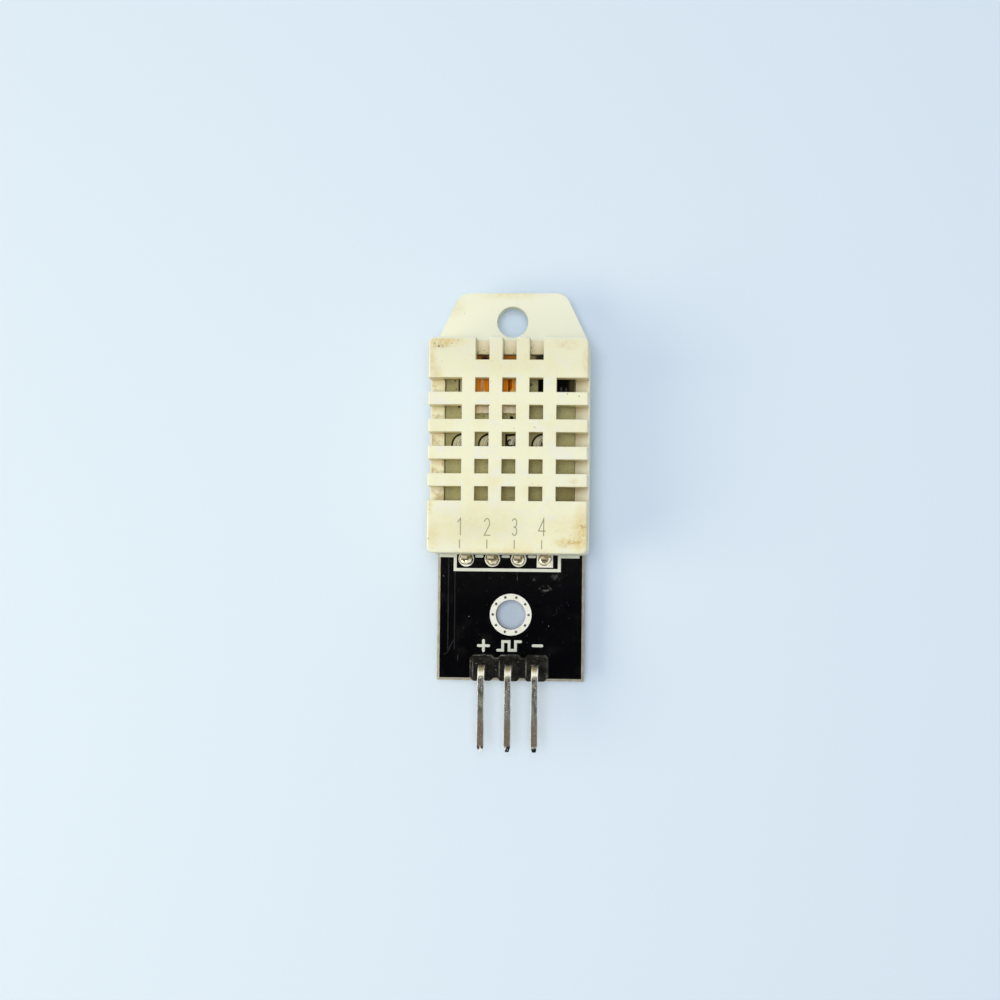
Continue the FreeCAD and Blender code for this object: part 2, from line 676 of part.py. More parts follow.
def make_header_base():
    """The header's plastic: three blocks in a row, set off by notches in both sides, with square holes."""
    body = new_body("header_base", y=HEADER_Y, z=PAD_TOP)
    half = "sizes.header_spacing / 2"
    start = f"({header_x(0)} - {half} + sizes.header_trim)"
    end = f"({header_x(HEADER_PINS - 1)} + {half} - sizes.header_trim)"
    # One long side, as places along it and how far in each lies.
    edge = [(start, "sizes.header_nick"), (f"{start} + sizes.header_nick", "0")]
    for number in range(1, HEADER_PINS):
        notch = f"({header_x(number)} - {half})"
        edge += [(f"{notch} - sizes.header_notch_width / 2", "0"),
                 (f"{notch} - sizes.header_notch_floor / 2", "sizes.header_notch_depth"),
                 (f"{notch} + sizes.header_notch_floor / 2", "sizes.header_notch_depth"),
                 (f"{notch} + sizes.header_notch_width / 2", "0")]
    edge += [(f"{end} - sizes.header_nick", "0"), (end, "sizes.header_nick")]
    corners = [(x, f"{depth} - sizes.header_width / 2") for x, depth in edge]
    corners += [(x, f"sizes.header_width / 2 - {depth}") for x, depth in reversed(edge)]
    blocks = new_sketch(body, "blocks")
    outline(blocks, corners)
    pad(body, blocks, "sizes.header_height")
    sockets = new_sketch(body, "pin_holes", offset=f"-{CUT_ROOM}")
    side = "sizes.pin_width / 2"
    for number in range(HEADER_PINS):
        x = header_x(number)
        rectangle(sockets, f"{x} - {side}", f"-{side}", f"{x} + {side}", side)
    cut(body, sockets, f"sizes.header_height + 2 * {CUT_ROOM}")


def make_header_pins():
    """The three square pins, bent over the board's end, each with its pads and solder."""
    side = "sizes.pin_width"
    under = f"({HEADER_TOP} + sizes.pin_rise + sizes.pin_bend)"
    over = f"({under} + {side})"
    for number in range(HEADER_PINS):
        x = header_x(number)
        body = new_body(f"header_pin_{number + 1}", x, HEADER_Y)
        profile = new_sketch(body, "side", "YZ_Plane")
        shoulder = "-(sizes.pin_reach - sizes.pin_point_length)"
        outline(profile, [(f"{side} / 2", "0"), (f"{side} / 2", over), (shoulder, over),
                          (shoulder, under), (f"-{side} / 2", under), (f"-{side} / 2", "0")])
        rod = pad(body, profile, side, symmetric=True)
        inner = (value(f"-{side} / 2"), value(under))
        outer = (value(f"{side} / 2"), value(over))
        bend = edges_of(rod, lambda middle, direction, edge: at(middle, inner))
        rod = soften(body, "Fillet", rod, bend, "sizes.pin_bend")
        bend = edges_of(rod, lambda middle, direction, edge: at(middle, outer))
        rod = soften(body, "Fillet", rod, bend, f"sizes.pin_bend + {side}")
        ends = edges_of(rod, lambda middle, direction, edge: near(middle.z, 0) and abs(direction.z) < 0.1)
        soften(body, "Chamfer", rod, ends, "sizes.pin_point")
        tip = new_sketch(body, "tip", "XZ_Plane", offset="sizes.pin_reach - sizes.pin_point_length")
        rectangle(tip, f"-{side} / 2", under, f"{side} / 2", over)
        pad(body, tip, "sizes.pin_point_length", draft="-atan(sizes.pin_point / sizes.pin_point_length)")

        if number == 0:
            square_plated_hole(f"header_pad_{number + 1}", x, HEADER_Y, BOARD_REAR, "sizes.board_thickness",
                               HEADER_HOLE, "sizes.header_pad_width / 2")
        else:
            plated_hole(f"header_pad_{number + 1}", x, HEADER_Y, BOARD_REAR, "sizes.board_thickness",
                        HEADER_HOLE, "sizes.header_pad_radius")
        solder_joint(f"header_solder_{number + 1}", x, HEADER_Y, BOARD_REAR, "sizes.board_thickness",
                     HEADER_HOLE, "sizes.header_solder_radius", (side, side),
                     rear="sizes.solder_tail")


def make_humidity_element():
    """The humidity element: a ceramic plate with an orange film, held off the board by two wires that lie
    over its face and turn down into the board under its foot."""
    left = f"(sizes.humidity_inset - {INNER_HALF})"
    foot = f"({INNER_HEAD} - sizes.element_top_gap - sizes.humidity_length)"
    face = f"({BOARD_TOP} + {INNER_TOP} + sizes.humidity_rise + sizes.humidity_thickness)"
    keep(box("humidity_substrate", "sizes.humidity_width", "sizes.humidity_length",
             "sizes.humidity_thickness", left, f"{CASE_Y} + {foot}", f"{face} - sizes.humidity_thickness"))
    keep(box("humidity_film", "sizes.humidity_width - 2 * sizes.film_margin",
             "sizes.humidity_length - sizes.film_foot - sizes.film_margin", "sizes.film_thickness",
             f"{left} + sizes.film_margin", f"{CASE_Y} + {foot} + sizes.film_foot", face))
    side = "sizes.humidity_wire_width"
    seat = "sizes.film_thickness"
    middle = f"({left} + sizes.humidity_width / 2 + sizes.humidity_wire_shift)"
    body = new_body("humidity_wires", middle, f"{CASE_Y} + {foot}", face)
    profile = new_sketch(body, "side", "YZ_Plane", offset="-sizes.humidity_wire_spacing / 2")
    out = "-sizes.humidity_wire_reach"
    depth = "-(sizes.humidity_rise + sizes.humidity_thickness)"
    outline(profile, [("sizes.humidity_wire_lap", seat), ("sizes.humidity_wire_lap", f"{seat} + {side}"),
                      (f"{out} - {side}", f"{seat} + {side}"), (f"{out} - {side}", depth), (out, depth),
                      (out, seat)])
    pair = pad(body, profile, side, symmetric=True)
    inner = (value(out), value(seat))
    outer = (value(f"{out} - {side}"), value(f"{seat} + {side}"))
    bend = edges_of(pair, lambda middle, direction, edge: at(middle, inner))
    wire = soften(body, "Fillet", pair, bend, "sizes.humidity_wire_bend")
    bend = edges_of(wire, lambda middle, direction, edge: at(middle, outer))
    wire = soften(body, "Fillet", wire, bend, f"sizes.humidity_wire_bend + {side}")
    repeat(body, wire, profile, 2, "sizes.humidity_wire_spacing")


def repeat(body, last, sketch, count, length):
    """The body's whole shape again, count times over a length along the sketch's normal."""
    row = body.newObject("PartDesign::LinearPattern", f"{last.Name}_row")
    row.TransformMode = "Whole shape"
    row.Direction = (sketch, ["N_Axis"])
    row.Mode = "Extent"
    row.Occurrences = count
    bind(row, "Length", length)
    body.Tip = row
    document.recompute()


def make_temperature_element():
    """The temperature element: a small black moulding in the inner board's upper corner, on three feet."""
    left = f"({INNER_HALF} - sizes.thermal_inset - sizes.thermal_width)"
    foot = f"({INNER_HEAD} - sizes.element_top_gap - sizes.thermal_length)"
    body = new_body("temperature_element", left, f"{CASE_Y} + {foot}", f"{BOARD_TOP} + {INNER_TOP}")
    plan = new_sketch(body, "plan")
    rectangle(plan, "0", "0", "sizes.thermal_width", "sizes.thermal_length")
    block = pad(body, plan, "sizes.thermal_thickness")
    top = value("sizes.thermal_thickness")
    rim = edges_of(block, lambda middle, direction, edge: near(middle.z, top))
    soften(body, "Chamfer", block, rim, "sizes.thermal_bevel")
    feet = []
    for number in range(3):
        x = (f"{left} + sizes.thermal_width / 2 + {column(number, 3, 'sizes.thermal_lead_spacing')}"
             " - sizes.thermal_lead_width / 2")
        feet.append(box(f"temperature_foot_{number + 1}", "sizes.thermal_lead_width",
                        "sizes.thermal_lead_reach", "sizes.thermal_lead_thickness", x,
                        f"{CASE_Y} + {foot} - sizes.thermal_lead_reach", f"{BOARD_TOP} + {INNER_TOP}"))
    group("temperature_feet", feet)


def make_controller():
    """The controller on the inner board's back, standing on two rows of bent feet."""
    low = f"({INNER_PAD} + sizes.inner_pad_radius + sizes.chip_pad_gap + sizes.chip_lead_reach)"
    under = f"({INNER_REAR} - sizes.chip_standoff - sizes.chip_thickness)"
    keep(box("controller_chip", "sizes.chip_width", "sizes.chip_length", "sizes.chip_thickness",
             "-sizes.chip_width / 2", f"{CASE_Y} + {low}", f"{BOARD_TOP} + {under}"))
    body = new_body("controller_feet", "0", f"{CASE_Y} + {low} + sizes.chip_length / 2",
                    f"{BOARD_TOP} + {INNER_REAR}")
    row_length = f"({CHIP_LEADS - 1} * sizes.chip_lead_spacing)"
    profile = new_sketch(body, "side", "YZ_Plane", offset=f"-{row_length} / 2")
    thick = "sizes.chip_lead_thickness"
    middle = "(sizes.chip_standoff + sizes.chip_thickness / 2)"
    for sign in ("-", ""):
        face = f"{sign}(sizes.chip_length / 2)"
        knee = f"{sign}(sizes.chip_length / 2 + sizes.chip_lead_knee)"
        back = f"{sign}(sizes.chip_length / 2 + sizes.chip_lead_knee - {thick})"
        toe = f"{sign}(sizes.chip_length / 2 + sizes.chip_lead_reach)"
        outline(profile, [(face, f"-{middle} - {thick} / 2"), (knee, f"-{middle} - {thick} / 2"),
                          (knee, f"-{thick}"), (toe, f"-{thick}"), (toe, "0"), (back, "0"),
                          (back, f"-{middle} + {thick} / 2"), (face, f"-{middle} + {thick} / 2")])
    feet = pad(body, profile, "sizes.chip_lead_width", symmetric=True)
    repeat(body, feet, profile, CHIP_LEADS, row_length)


def ceramic(label, length, width, thickness, end, x, y, face):
    """A chip part under a board: its ceramic, its two metal ends, their lands and their solder.

    face is the height of the board's rear face. The chip lies along Y with its middle at x, y.
    """
    lip = "sizes.ceramic_end_lip"
    land = "sizes.land_thickness"
    keep(box(label, width, f"{length} - 2 * {end}", thickness, f"{x} - {width} / 2",
             f"{y} - {length} / 2 + {end}", f"{face} - {land} - {lip} - {thickness}"))
    ends = new_body(f"{label}_ends", x, y, face)
    lands = new_body(f"{label}_lands", x, y, face)
    solder = new_body(f"{label}_solder", x, y, face)
    end_side = new_sketch(ends, "side", "YZ_Plane")
    land_side = new_sketch(lands, "side", "YZ_Plane")
    solder_side = new_sketch(solder, "side", "YZ_Plane")
    for sign in ("-", ""):
        outer = f"{sign}({length} / 2)"
        inner = f"{sign}({length} / 2 - {end})"
        toe = f"{sign}({length} / 2 + sizes.land_overhang)"
        base = f"-{land}"
        bottom = f"-{land} - {thickness} - 2 * {lip}"
        outline(end_side, [(inner, base), (outer, base), (outer, bottom), (inner, bottom)])
        outline(land_side, [(inner, "0"), (toe, "0"), (toe, base), (inner, base)])
        outline(solder_side, [(outer, base), (toe, base),
                              (outer, f"-{land} - sizes.fillet_share * {thickness}")])
    pad(ends, end_side, f"{width} + 2 * {lip}", symmetric=True)
    pad(lands, land_side, f"{width} + 2 * {lip}", symmetric=True)
    pad(solder, solder_side, width, symmetric=True)


def make_chip_parts():
    """The filter capacitor inside the case, and the pull-up resistor and capacitor behind the board."""
    ceramic("inner_capacitor", "sizes.inner_ceramic_length", "sizes.inner_ceramic_width",
            "sizes.inner_ceramic_thickness", "sizes.inner_ceramic_end",
            lead_x(LEADS - 1.5), f"({CASE_Y} + {INNER_PAD} - sizes.inner_ceramic_drop)",
            f"{BOARD_TOP} + {INNER_REAR}")
    for label, side, thickness in (("pull_up_resistor", "-", "sizes.resistor_thickness"),
                                   ("board_capacitor", "", "sizes.capacitor_thickness")):
        ceramic(label, "sizes.ceramic_length", "sizes.ceramic_width", thickness, "sizes.ceramic_end",
                f"({side}sizes.ceramic_spread / 2)", f"({CASE_Y} + sizes.ceramic_rise)", BOARD_REAR)


def check_document():
    """Stops before anything is written when an object failed or a piece isn't sound."""
    document.recompute()
    for item in document.Objects:
        if "Invalid" in item.State or "Error" in item.State:
            raise RuntimeError(f"{item.Name} failed: {item.State}")
    for piece in subparts:
        if piece.Shape.isNull() or not piece.Shape.isValid() or not piece.Shape.Solids:
            raise RuntimeError(f"{piece.Label} has no sound solid")
        print(f"{piece.Label}: {len(piece.Shape.Solids)} solid(s), {piece.Shape.Volume:.4f} mm3")


make_carrier_board()
make_mounting_ring()
make_rear_shell()
make_inner_board()
make_grille_cover()
make_sensor_leads()
make_header_base()
make_header_pins()
make_humidity_element()
make_temperature_element()
make_controller()
make_chip_parts()
document.removeObject("trial")
check_document()

os.makedirs("parts", exist_ok=True)
for piece in subparts:
    piece.Shape.exportStep(f"parts/{piece.Label}.step")
print(f"{len(subparts)} nodes written")
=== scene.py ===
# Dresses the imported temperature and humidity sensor: its plastic, boards, metals, prints, floor and light.
# Lengths in the dictionaries are millimetres in the frame of the part: X across the case, Y from the
# pins to the tab, Z out of the grille.
import math

import bmesh
import bpy
import numpy as np
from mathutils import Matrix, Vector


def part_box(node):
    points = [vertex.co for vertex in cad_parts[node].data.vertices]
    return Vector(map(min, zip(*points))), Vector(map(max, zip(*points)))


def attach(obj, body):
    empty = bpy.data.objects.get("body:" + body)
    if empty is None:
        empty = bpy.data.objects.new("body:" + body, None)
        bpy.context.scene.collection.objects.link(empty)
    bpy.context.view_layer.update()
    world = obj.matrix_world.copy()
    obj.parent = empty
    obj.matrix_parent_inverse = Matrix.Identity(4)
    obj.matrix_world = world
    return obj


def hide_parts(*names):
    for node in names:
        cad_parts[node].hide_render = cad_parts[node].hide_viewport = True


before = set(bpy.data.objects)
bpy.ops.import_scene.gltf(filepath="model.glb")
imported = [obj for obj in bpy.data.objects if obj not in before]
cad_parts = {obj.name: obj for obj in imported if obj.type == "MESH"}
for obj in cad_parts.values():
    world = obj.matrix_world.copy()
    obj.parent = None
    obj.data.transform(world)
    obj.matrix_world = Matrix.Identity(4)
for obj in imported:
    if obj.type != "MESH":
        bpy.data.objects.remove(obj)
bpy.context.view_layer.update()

metresPerMm = 0.001


def seen(red, green, blue):
    # the linear colour that shows as this 0 to 255 colour on a screen
    shares = np.array([red, green, blue]) / 255
    linear = np.where(shares > 0.04045, ((shares + 0.055) / 1.055) ** 2.4, shares / 12.92)
    return (*linear.tolist(), 1.0)


def boxOf(node):
    # lowest and highest corner of a CAD node, in millimetres
    low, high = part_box(node)
    return np.array(low) / metresPerMm, np.array(high) / metresPerMm


boardTop = boxOf("carrier_board")[1][2]
innerTop = boxOf("inner_board")[1][2]
caseFront = boxOf("grille_cover")[1][2]


class Nodes:
    # short words for the shader nodes that the finishes and the sky share

    def __init__(self, owner):
        owner.use_nodes = True
        self.tree = owner.node_tree
        self.tree.nodes.clear()

    def add(self, kind, inputs, output=0, **settings):
        node = self.tree.nodes.new("ShaderNode" + kind)
        for setting, choice in settings.items():
            setattr(node, setting, choice)
        for socket, source in inputs.items():
            self.feed(node.inputs[socket], source)
        return node.outputs[output]

    def feed(self, socket, source):
        if isinstance(source, bpy.types.NodeSocket):
            self.tree.links.new(source, socket)
        else:
            socket.default_value = source

    def split(self, vector):
        # its parts along X, Y and Z
        return self.add("SeparateXYZ", {0: vector}).node.outputs

    def fade(self, value, low, high):
        # 0 at low, 1 at high, smooth between; low may be the larger
        return self.add("MapRange", {"Value": value, "From Min": low, "From Max": high},
                        interpolation_type="SMOOTHSTEP")

    def between(self, factor, low, high):
        return self.add("MapRange", {"Value": factor, "To Min": low, "To Max": high})

    def math(self, operation, first, second):
        return self.add("Math", {0: first, 1: second}, operation=operation)

    def times(self, first, *factors):
        for factor in factors:
            first = self.math("MULTIPLY", first, factor)
        return first

    def most(self, first, *values):
        for value in values:
            first = self.math("MAXIMUM", first, value)
        return first

    def tint(self, colour, shade, *factors):
        # the colour, turned to the shade by the product of the factors
        return self.add("Mix", {0: self.times(*factors), 6: colour, 7: shade}, 2, data_type="RGBA")


class Finish(Nodes):
    # one material: a principled shader whose patterns are measured in millimetres on the piece itself

    def __init__(self, name):
        self.material = bpy.data.materials.new(name)
        super().__init__(self.material)
        output = self.tree.nodes.new("ShaderNodeOutputMaterial")
        self.shader = self.tree.nodes.new("ShaderNodeBsdfPrincipled")
        self.tree.links.new(self.shader.outputs["BSDF"], output.inputs["Surface"])
        onPiece = self.add("TexCoord", {}, "Object")
        self.place = self.add("VectorMath", {0: onPiece, "Scale": 1 / metresPerMm}, operation="SCALE")
        self.x, self.y, self.z = self.split(self.place)

    def facing(self):
        # how far the surface looks along X, Y and Z
        return self.split(self.add("NewGeometry", {}, "Normal"))

    def set(self, **values):
        # principled sockets by their names, with _ for a blank
        for name, source in values.items():
            self.feed(self.shader.inputs[name.replace("_", " ")], source)

    def stretched(self, factors, shift=(0, 0, 0)):
        return self.add("Mapping", {"Vector": self.place, "Scale": factors, "Location": shift})

    def noise(self, scale, detail=3.0, roughness=0.5, vector=None):
        return self.add("TexNoise", {"Vector": vector or self.place, "Scale": scale, "Detail": detail,
                                     "Roughness": roughness})

    def cells(self, scale, output):
        return self.add("TexVoronoi", {"Vector": self.place, "Scale": scale}, output)

    def spot(self, centre, reach, edge=0.0):
        # 1 at the centre, 0 at the reach along each axis
        away = self.add("VectorMath", {0: self.place, 1: centre}, operation="SUBTRACT")
        share = self.add("VectorMath", {0: away, 1: reach}, operation="DIVIDE")
        length = self.add("VectorMath", {0: share}, "Value", operation="LENGTH")
        return self.fade(length, 1.0, edge)

    def specks(self, scale, size, rarity):
        # small dots: the middles of those cells whose random number passes the rarity
        near = self.fade(self.cells(scale, "Distance"), size * scale, size * scale * 0.4)
        chosen = self.fade(self.cells(scale, "Color"), rarity, rarity + 0.01)
        return self.times(near, chosen)

    def bump(self, height, depth, strength):
        # depth is in millimetres
        return self.add("Bump", {"Height": height, "Strength": strength, "Distance": depth * metresPerMm})


plastic = {
    "cream": seen(244, 243, 213), "warm": seen(238, 231, 190), "pale": seen(240, 240, 226),
    "cool": seen(243, 243, 222), "grey": seen(228, 227, 198), "stain": seen(221, 196, 122),
    "deepStain": seen(172, 132, 66), "grime": seen(190, 166, 124), "speck": seen(70, 50, 30),
    "glow": seen(255, 238, 178), "rim": seen(255, 254, 240), "notch": seen(252, 238, 206),
    "notchFoot": seen(236, 222, 178), "dim": seen(230, 225, 188),
    "roughness": (0.42, 0.58), "specular": 0.4, "rowFoot": 1.645, "rowStep": 2.53,
    # pairs: where along an axis something starts to show, and where it is full
    "greyHead": (11.5, 16.5), "tabAcross": (16.7, 17.1), "tabDown": (7.0, 5.4),
    "sideWalls": (7.44, 7.34), "lowerWall": (-3.1, -2.8),
    "slotsDown": (10.2, 8.8), "slotsUp": (6.6, 7.2), "barShade": (0.20, 0.54), "inward": (7.35, 6.25),
    "slotsRight": (5.8, 6.2), "slotsLeft": (-5.8, -6.2),
    "openingsDown": (10.5, 10.25), "deepDown": (9.8, 8.6), "rimsUp": (10.1, 10.3),
    "lessAtHead": (15.2, 14.6), "notchAcross": (15.3, 15.6), "notchDown": (8.2, 7.7), "notchUp": (6.0, 6.3),
    "notchShade": (16.7, 15.8),
    "dots": (  # place, size, strength: the specks that show most
        (-3.5, 17.9, 5.6, 0.10, 0.9), (-6.7, 17.8, 5.6, 0.12, 0.7), (-6.2, 18.3, 5.6, 0.09, 0.5),
        (-6.5, 16.0, 10.5, 0.13, 1.0), (-6.9, 16.3, 10.5, 0.08, 0.9), (-5.3, 16.3, 10.5, 0.09, 0.7),
        (-4.7, 16.6, 10.5, 0.07, 0.8), (-6.2, 14.6, 10.5, 0.07, 0.5), (5.5, 11.6, 10.5, 0.09, 0.8),
        (6.6, 11.4, 10.5, 0.10, 0.7), (-7.2, 12.9, 10.5, 0.10, 0.7), (2.5, 8.5, 10.5, 0.11, 0.4),
        (0.6, 8.4, 10.5, 0.07, 0.6), (-1.9, 4.9, 10.5, 0.08, 0.5), (-2.9, 6.9, 10.5, 0.07, 0.6),
        (-6.9, 4.6, 10.5, 0.08, 0.8), (-7.3, -1.9, 10.5, 0.09, 0.7), (6.9, -0.6, 10.5, 0.10, 0.6),
        (-2.5, 16.0, 7.3, 0.09, 0.7), (-2.2, 15.8, 7.3, 0.07, 0.6), (-3.1, 15.85, 7.3, 0.16, 0.6),
        (1.95, 16.3, 7.3, 0.13, 0.8), (2.2, 16.5, 7.3, 0.07, 0.6), (0.3, 15.75, 7.3, 0.10, 0.7),
    ),
    "marks": (  # middle, reach, strength, how ragged, colour
        ((-5.9, 16.5, 10.5), (2.5, 0.85, 2.5), 0.85, 0.8, "stain"),
        ((-7.2, 14.9, 10.2), (0.75, 2.6, 3.0), 0.65, 0.6, "stain"),
        ((-6.4, 16.1, 10.5), (1.1, 0.5, 2.0), 0.6, 1.0, "deepStain"),
        ((5.4, 16.2, 10.5), (1.9, 0.8, 2.0), 0.45, 0.9, "stain"),
        ((7.2, 14.4, 10.5), (0.5, 2.4, 2.5), 0.45, 0.7, "stain"),
        ((7.0, -1.0, 10.5), (1.3, 3.4, 2.5), 0.85, 0.5, "stain"),
        ((5.8, -2.2, 10.4), (2.2, 0.8, 2.5), 1.0, 0.8, "stain"),
        ((6.2, -2.15, 10.5), (0.9, 0.3, 1.5), 0.6, 1.0, "deepStain"),
        ((7.1, -0.75, 10.5), (0.35, 0.2, 1.5), 0.9, 0.7, "deepStain"),
        ((6.2, 3.5, 10.4), (0.7, 0.45, 1.5), 0.75, 0.7, "stain"),
        ((-7.3, 1.0, 10.4), (0.6, 1.3, 2.5), 0.7, 0.7, "stain"),
        ((-6.7, 13.4, 10.5), (0.9, 1.5, 2.5), 0.5, 0.5, "stain"),
        ((-6.9, -1.6, 10.5), (1.0, 1.9, 2.5), 0.45, 0.5, "stain"),
        ((0.0, -3.2, 10.3), (8.5, 0.7, 2.5), 0.45, 0.6, "stain"),
        ((0.0, 21.8, 4.0), (4.2, 0.8, 3.0), 0.5, 0.7, "stain"),
        ((-5.6, 20.6, 4.2), (1.6, 1.4, 2.0), 0.3, 0.6, "stain"),
        ((-3.0, -0.7, 10.5), (8.0, 2.9, 2.0), 0.85, 0.3, "dim"),
        ((0.0, 14.2, 10.5), (7.0, 1.6, 2.0), 0.35, 0.4, "dim"),
        ((5.6, 5.6, 10.5), (3.0, 6.5, 2.0), 0.6, 0.5, "pale"),
        ((5.4, -0.7, 10.5), (2.8, 2.0, 2.0), 0.28, 0.5, "stain"),
    ),
}


def makePlastic():
    # aged white plastic: yellowed in clouds, stained at its corners, grimy and with painted shade inside the
    # slots, painted glow and rim highlights in the openings, and specks
    look = Finish("casePlastic")
    kit = plastic
    clouds = look.fade(look.noise(0.32, 4.0, 0.6), 0.42, 0.72)
    colour = look.tint(kit["cream"], kit["warm"], clouds, 0.6)
    elsewhere = look.stretched((1.0, 1.0, 1.0), (17.0, 5.0, 0.0))
    bleached = look.fade(look.noise(0.62, 5.0, 0.65, elsewhere), 0.48, 0.66)
    colour = look.tint(colour, kit["pale"], bleached, 0.8)
    colour = look.tint(colour, kit["grey"], look.fade(look.y, *kit["greyHead"]), 0.5)
    onTab = look.times(look.fade(look.y, *kit["tabAcross"]), look.fade(look.z, *kit["tabDown"]))
    colour = look.tint(colour, kit["cool"], onTab)
    ragged = look.fade(look.noise(2.2, 6.0, 0.7), 0.36, 0.62)
    for middle, reach, strength, share, shade in kit["marks"]:
        torn = look.between(ragged, 1.0 - share, 1.0)
        colour = look.tint(colour, kit[shade], look.spot(middle, reach), torn, strength)

    # the inside of the slots and openings: grime, and painted shade deeper in, toward the right and under
    # the bars
    aside = look.math("ABSOLUTE", look.x, 0.0)
    within = look.times(look.fade(aside, *kit["sideWalls"]), look.fade(look.y, *kit["lowerWall"]))
    overFloor = look.fade(look.z, *kit["slotsUp"])
    inSlots = look.times(look.fade(look.z, *kit["slotsDown"]), overFloor, within)
    row = look.math("DIVIDE", look.math("SUBTRACT", look.y, kit["rowFoot"]), kit["rowStep"])
    underBar = look.fade(look.math("FRACT", row, 0.0), *kit["barShade"])
    onRight = look.fade(look.x, *kit["slotsRight"])
    inward = look.fade(look.x, *kit["inward"])
    # painted shade on the slot ledges: under each bar and toward the opening
    ledgeShade = look.math("ADD", look.times(underBar, 0.42), look.times(inward, 0.36))
    ledgeShade = look.times(look.math("ADD", ledgeShade, 0.08), onRight)
    leftLedgeShade = look.times(underBar, 0.4, look.fade(look.x, *kit["slotsLeft"]))
    grimeAndShade = look.fade(look.noise(0.9, 5.0, 0.65), 0.40, 0.66)
    grimeAndShade = look.times(grimeAndShade, look.between(onRight, 0.85, 0.3))
    grimeAndShade = look.times(inSlots, look.most(grimeAndShade, look.most(ledgeShade, leftLedgeShade)))

    # walls by the way they face: painted glow on those toward the pins, painted shade on those toward the
    # right and deep in the openings, painted highlights on the rims that face the light
    faceX, faceY, faceZ = look.facing()
    towardRight = look.fade(faceX, 0.3, 0.8)
    inOpenings = look.times(overFloor, look.fade(look.z, *kit["openingsDown"]), within)
    underside = look.times(look.fade(faceY, -0.3, -0.8), inOpenings)
    # painted glow: warm light on the undersides of the bars
    colour = look.tint(colour, kit["glow"], underside, 0.85)
    grimeAndShade = look.times(grimeAndShade, look.between(underside, 1.0, 0.2))
    deep = look.times(underside, look.between(look.fade(look.z, *kit["deepDown"]), 0.0, 0.4))
    shaded = look.most(deep, look.times(towardRight, 0.8, inOpenings))
    grimeAndShade = look.most(grimeAndShade, look.times(shaded, look.between(look.noise(1.6, 4.0, 0.6), 0.35, 0.95)))
    # painted highlight on the rims of the openings that face the light
    towardLight = look.most(look.fade(faceY, 0.2, 0.6), look.fade(faceX, -0.2, -0.6))
    rimHighlights = look.times(towardLight, within, look.fade(look.z, *kit["rimsUp"]))
    grimeAndShade = look.times(grimeAndShade, look.between(look.fade(look.y, *kit["lessAtHead"]), 0.15, 1.0))
    # grime and painted shade, both in one brownish tone
    colour = look.tint(colour, kit["grime"], grimeAndShade)
    colour = look.tint(colour, kit["rim"], rimHighlights, 0.9)

    # the floors of the notches at the head
    atFloor = look.times(look.fade(look.z, *kit["notchDown"]), look.fade(look.z, *kit["notchUp"]))
    atFloor = look.times(atFloor, look.fade(faceZ, 0.3, 0.8), within)
    inNotch = look.times(look.fade(look.y, *kit["notchAcross"]), atFloor)
    notch = look.tint(kit["notch"], kit["notchFoot"], look.fade(look.y, *kit["notchShade"]))
    colour = look.tint(colour, notch, inNotch, 0.9)

    dots = look.most(look.specks(0.85, 0.085, 0.80), look.times(look.specks(2.1, 0.045, 0.66), 0.8))
    dots = look.times(dots, look.between(look.fade(look.noise(0.4, 3.0), 0.4, 0.62), 0.25, 0.95))
    for x, y, z, size, strength in kit["dots"]:
        dots = look.most(dots, look.times(look.spot((x, y, z), (size, size * 0.8, 1.0), 0.3), strength))
    colour = look.tint(colour, kit["speck"], dots)
    look.set(Base_Color=colour, Roughness=look.between(look.noise(9.0, 3.0), *kit["roughness"]),
             Subsurface_Weight=0.12, Subsurface_Scale=0.0006, Subsurface_Radius=(1.0, 0.85, 0.6),
             Specular_IOR_Level=kit["specular"], Normal=look.bump(look.noise(4.5, 4.0, 0.6), 0.012, 0.6))
    return look.material


mask = {
    "black": seen(4, 4, 6), "haze": seen(26, 25, 25), "dust": seen(150, 150, 145),
    "laminate": seen(186, 180, 163), "fibre": seen(156, 148, 124), "roughness": (0.16, 0.34),
    "specular": 0.32, "bareRoughness": 0.75, "upper": (-9.0, -4.5), "edge": (0.96, 0.90),
    "scuffs": (  # middle, reach, strength
        ((3.35, -6.55, 2.8), (0.75, 0.5, 1.0), 0.85), ((2.2, -5.55, 2.8), (0.5, 0.35, 1.0), 0.4),
        ((4.4, -5.3, 2.8), (0.9, 0.6, 1.0), 0.22),
    ),
}


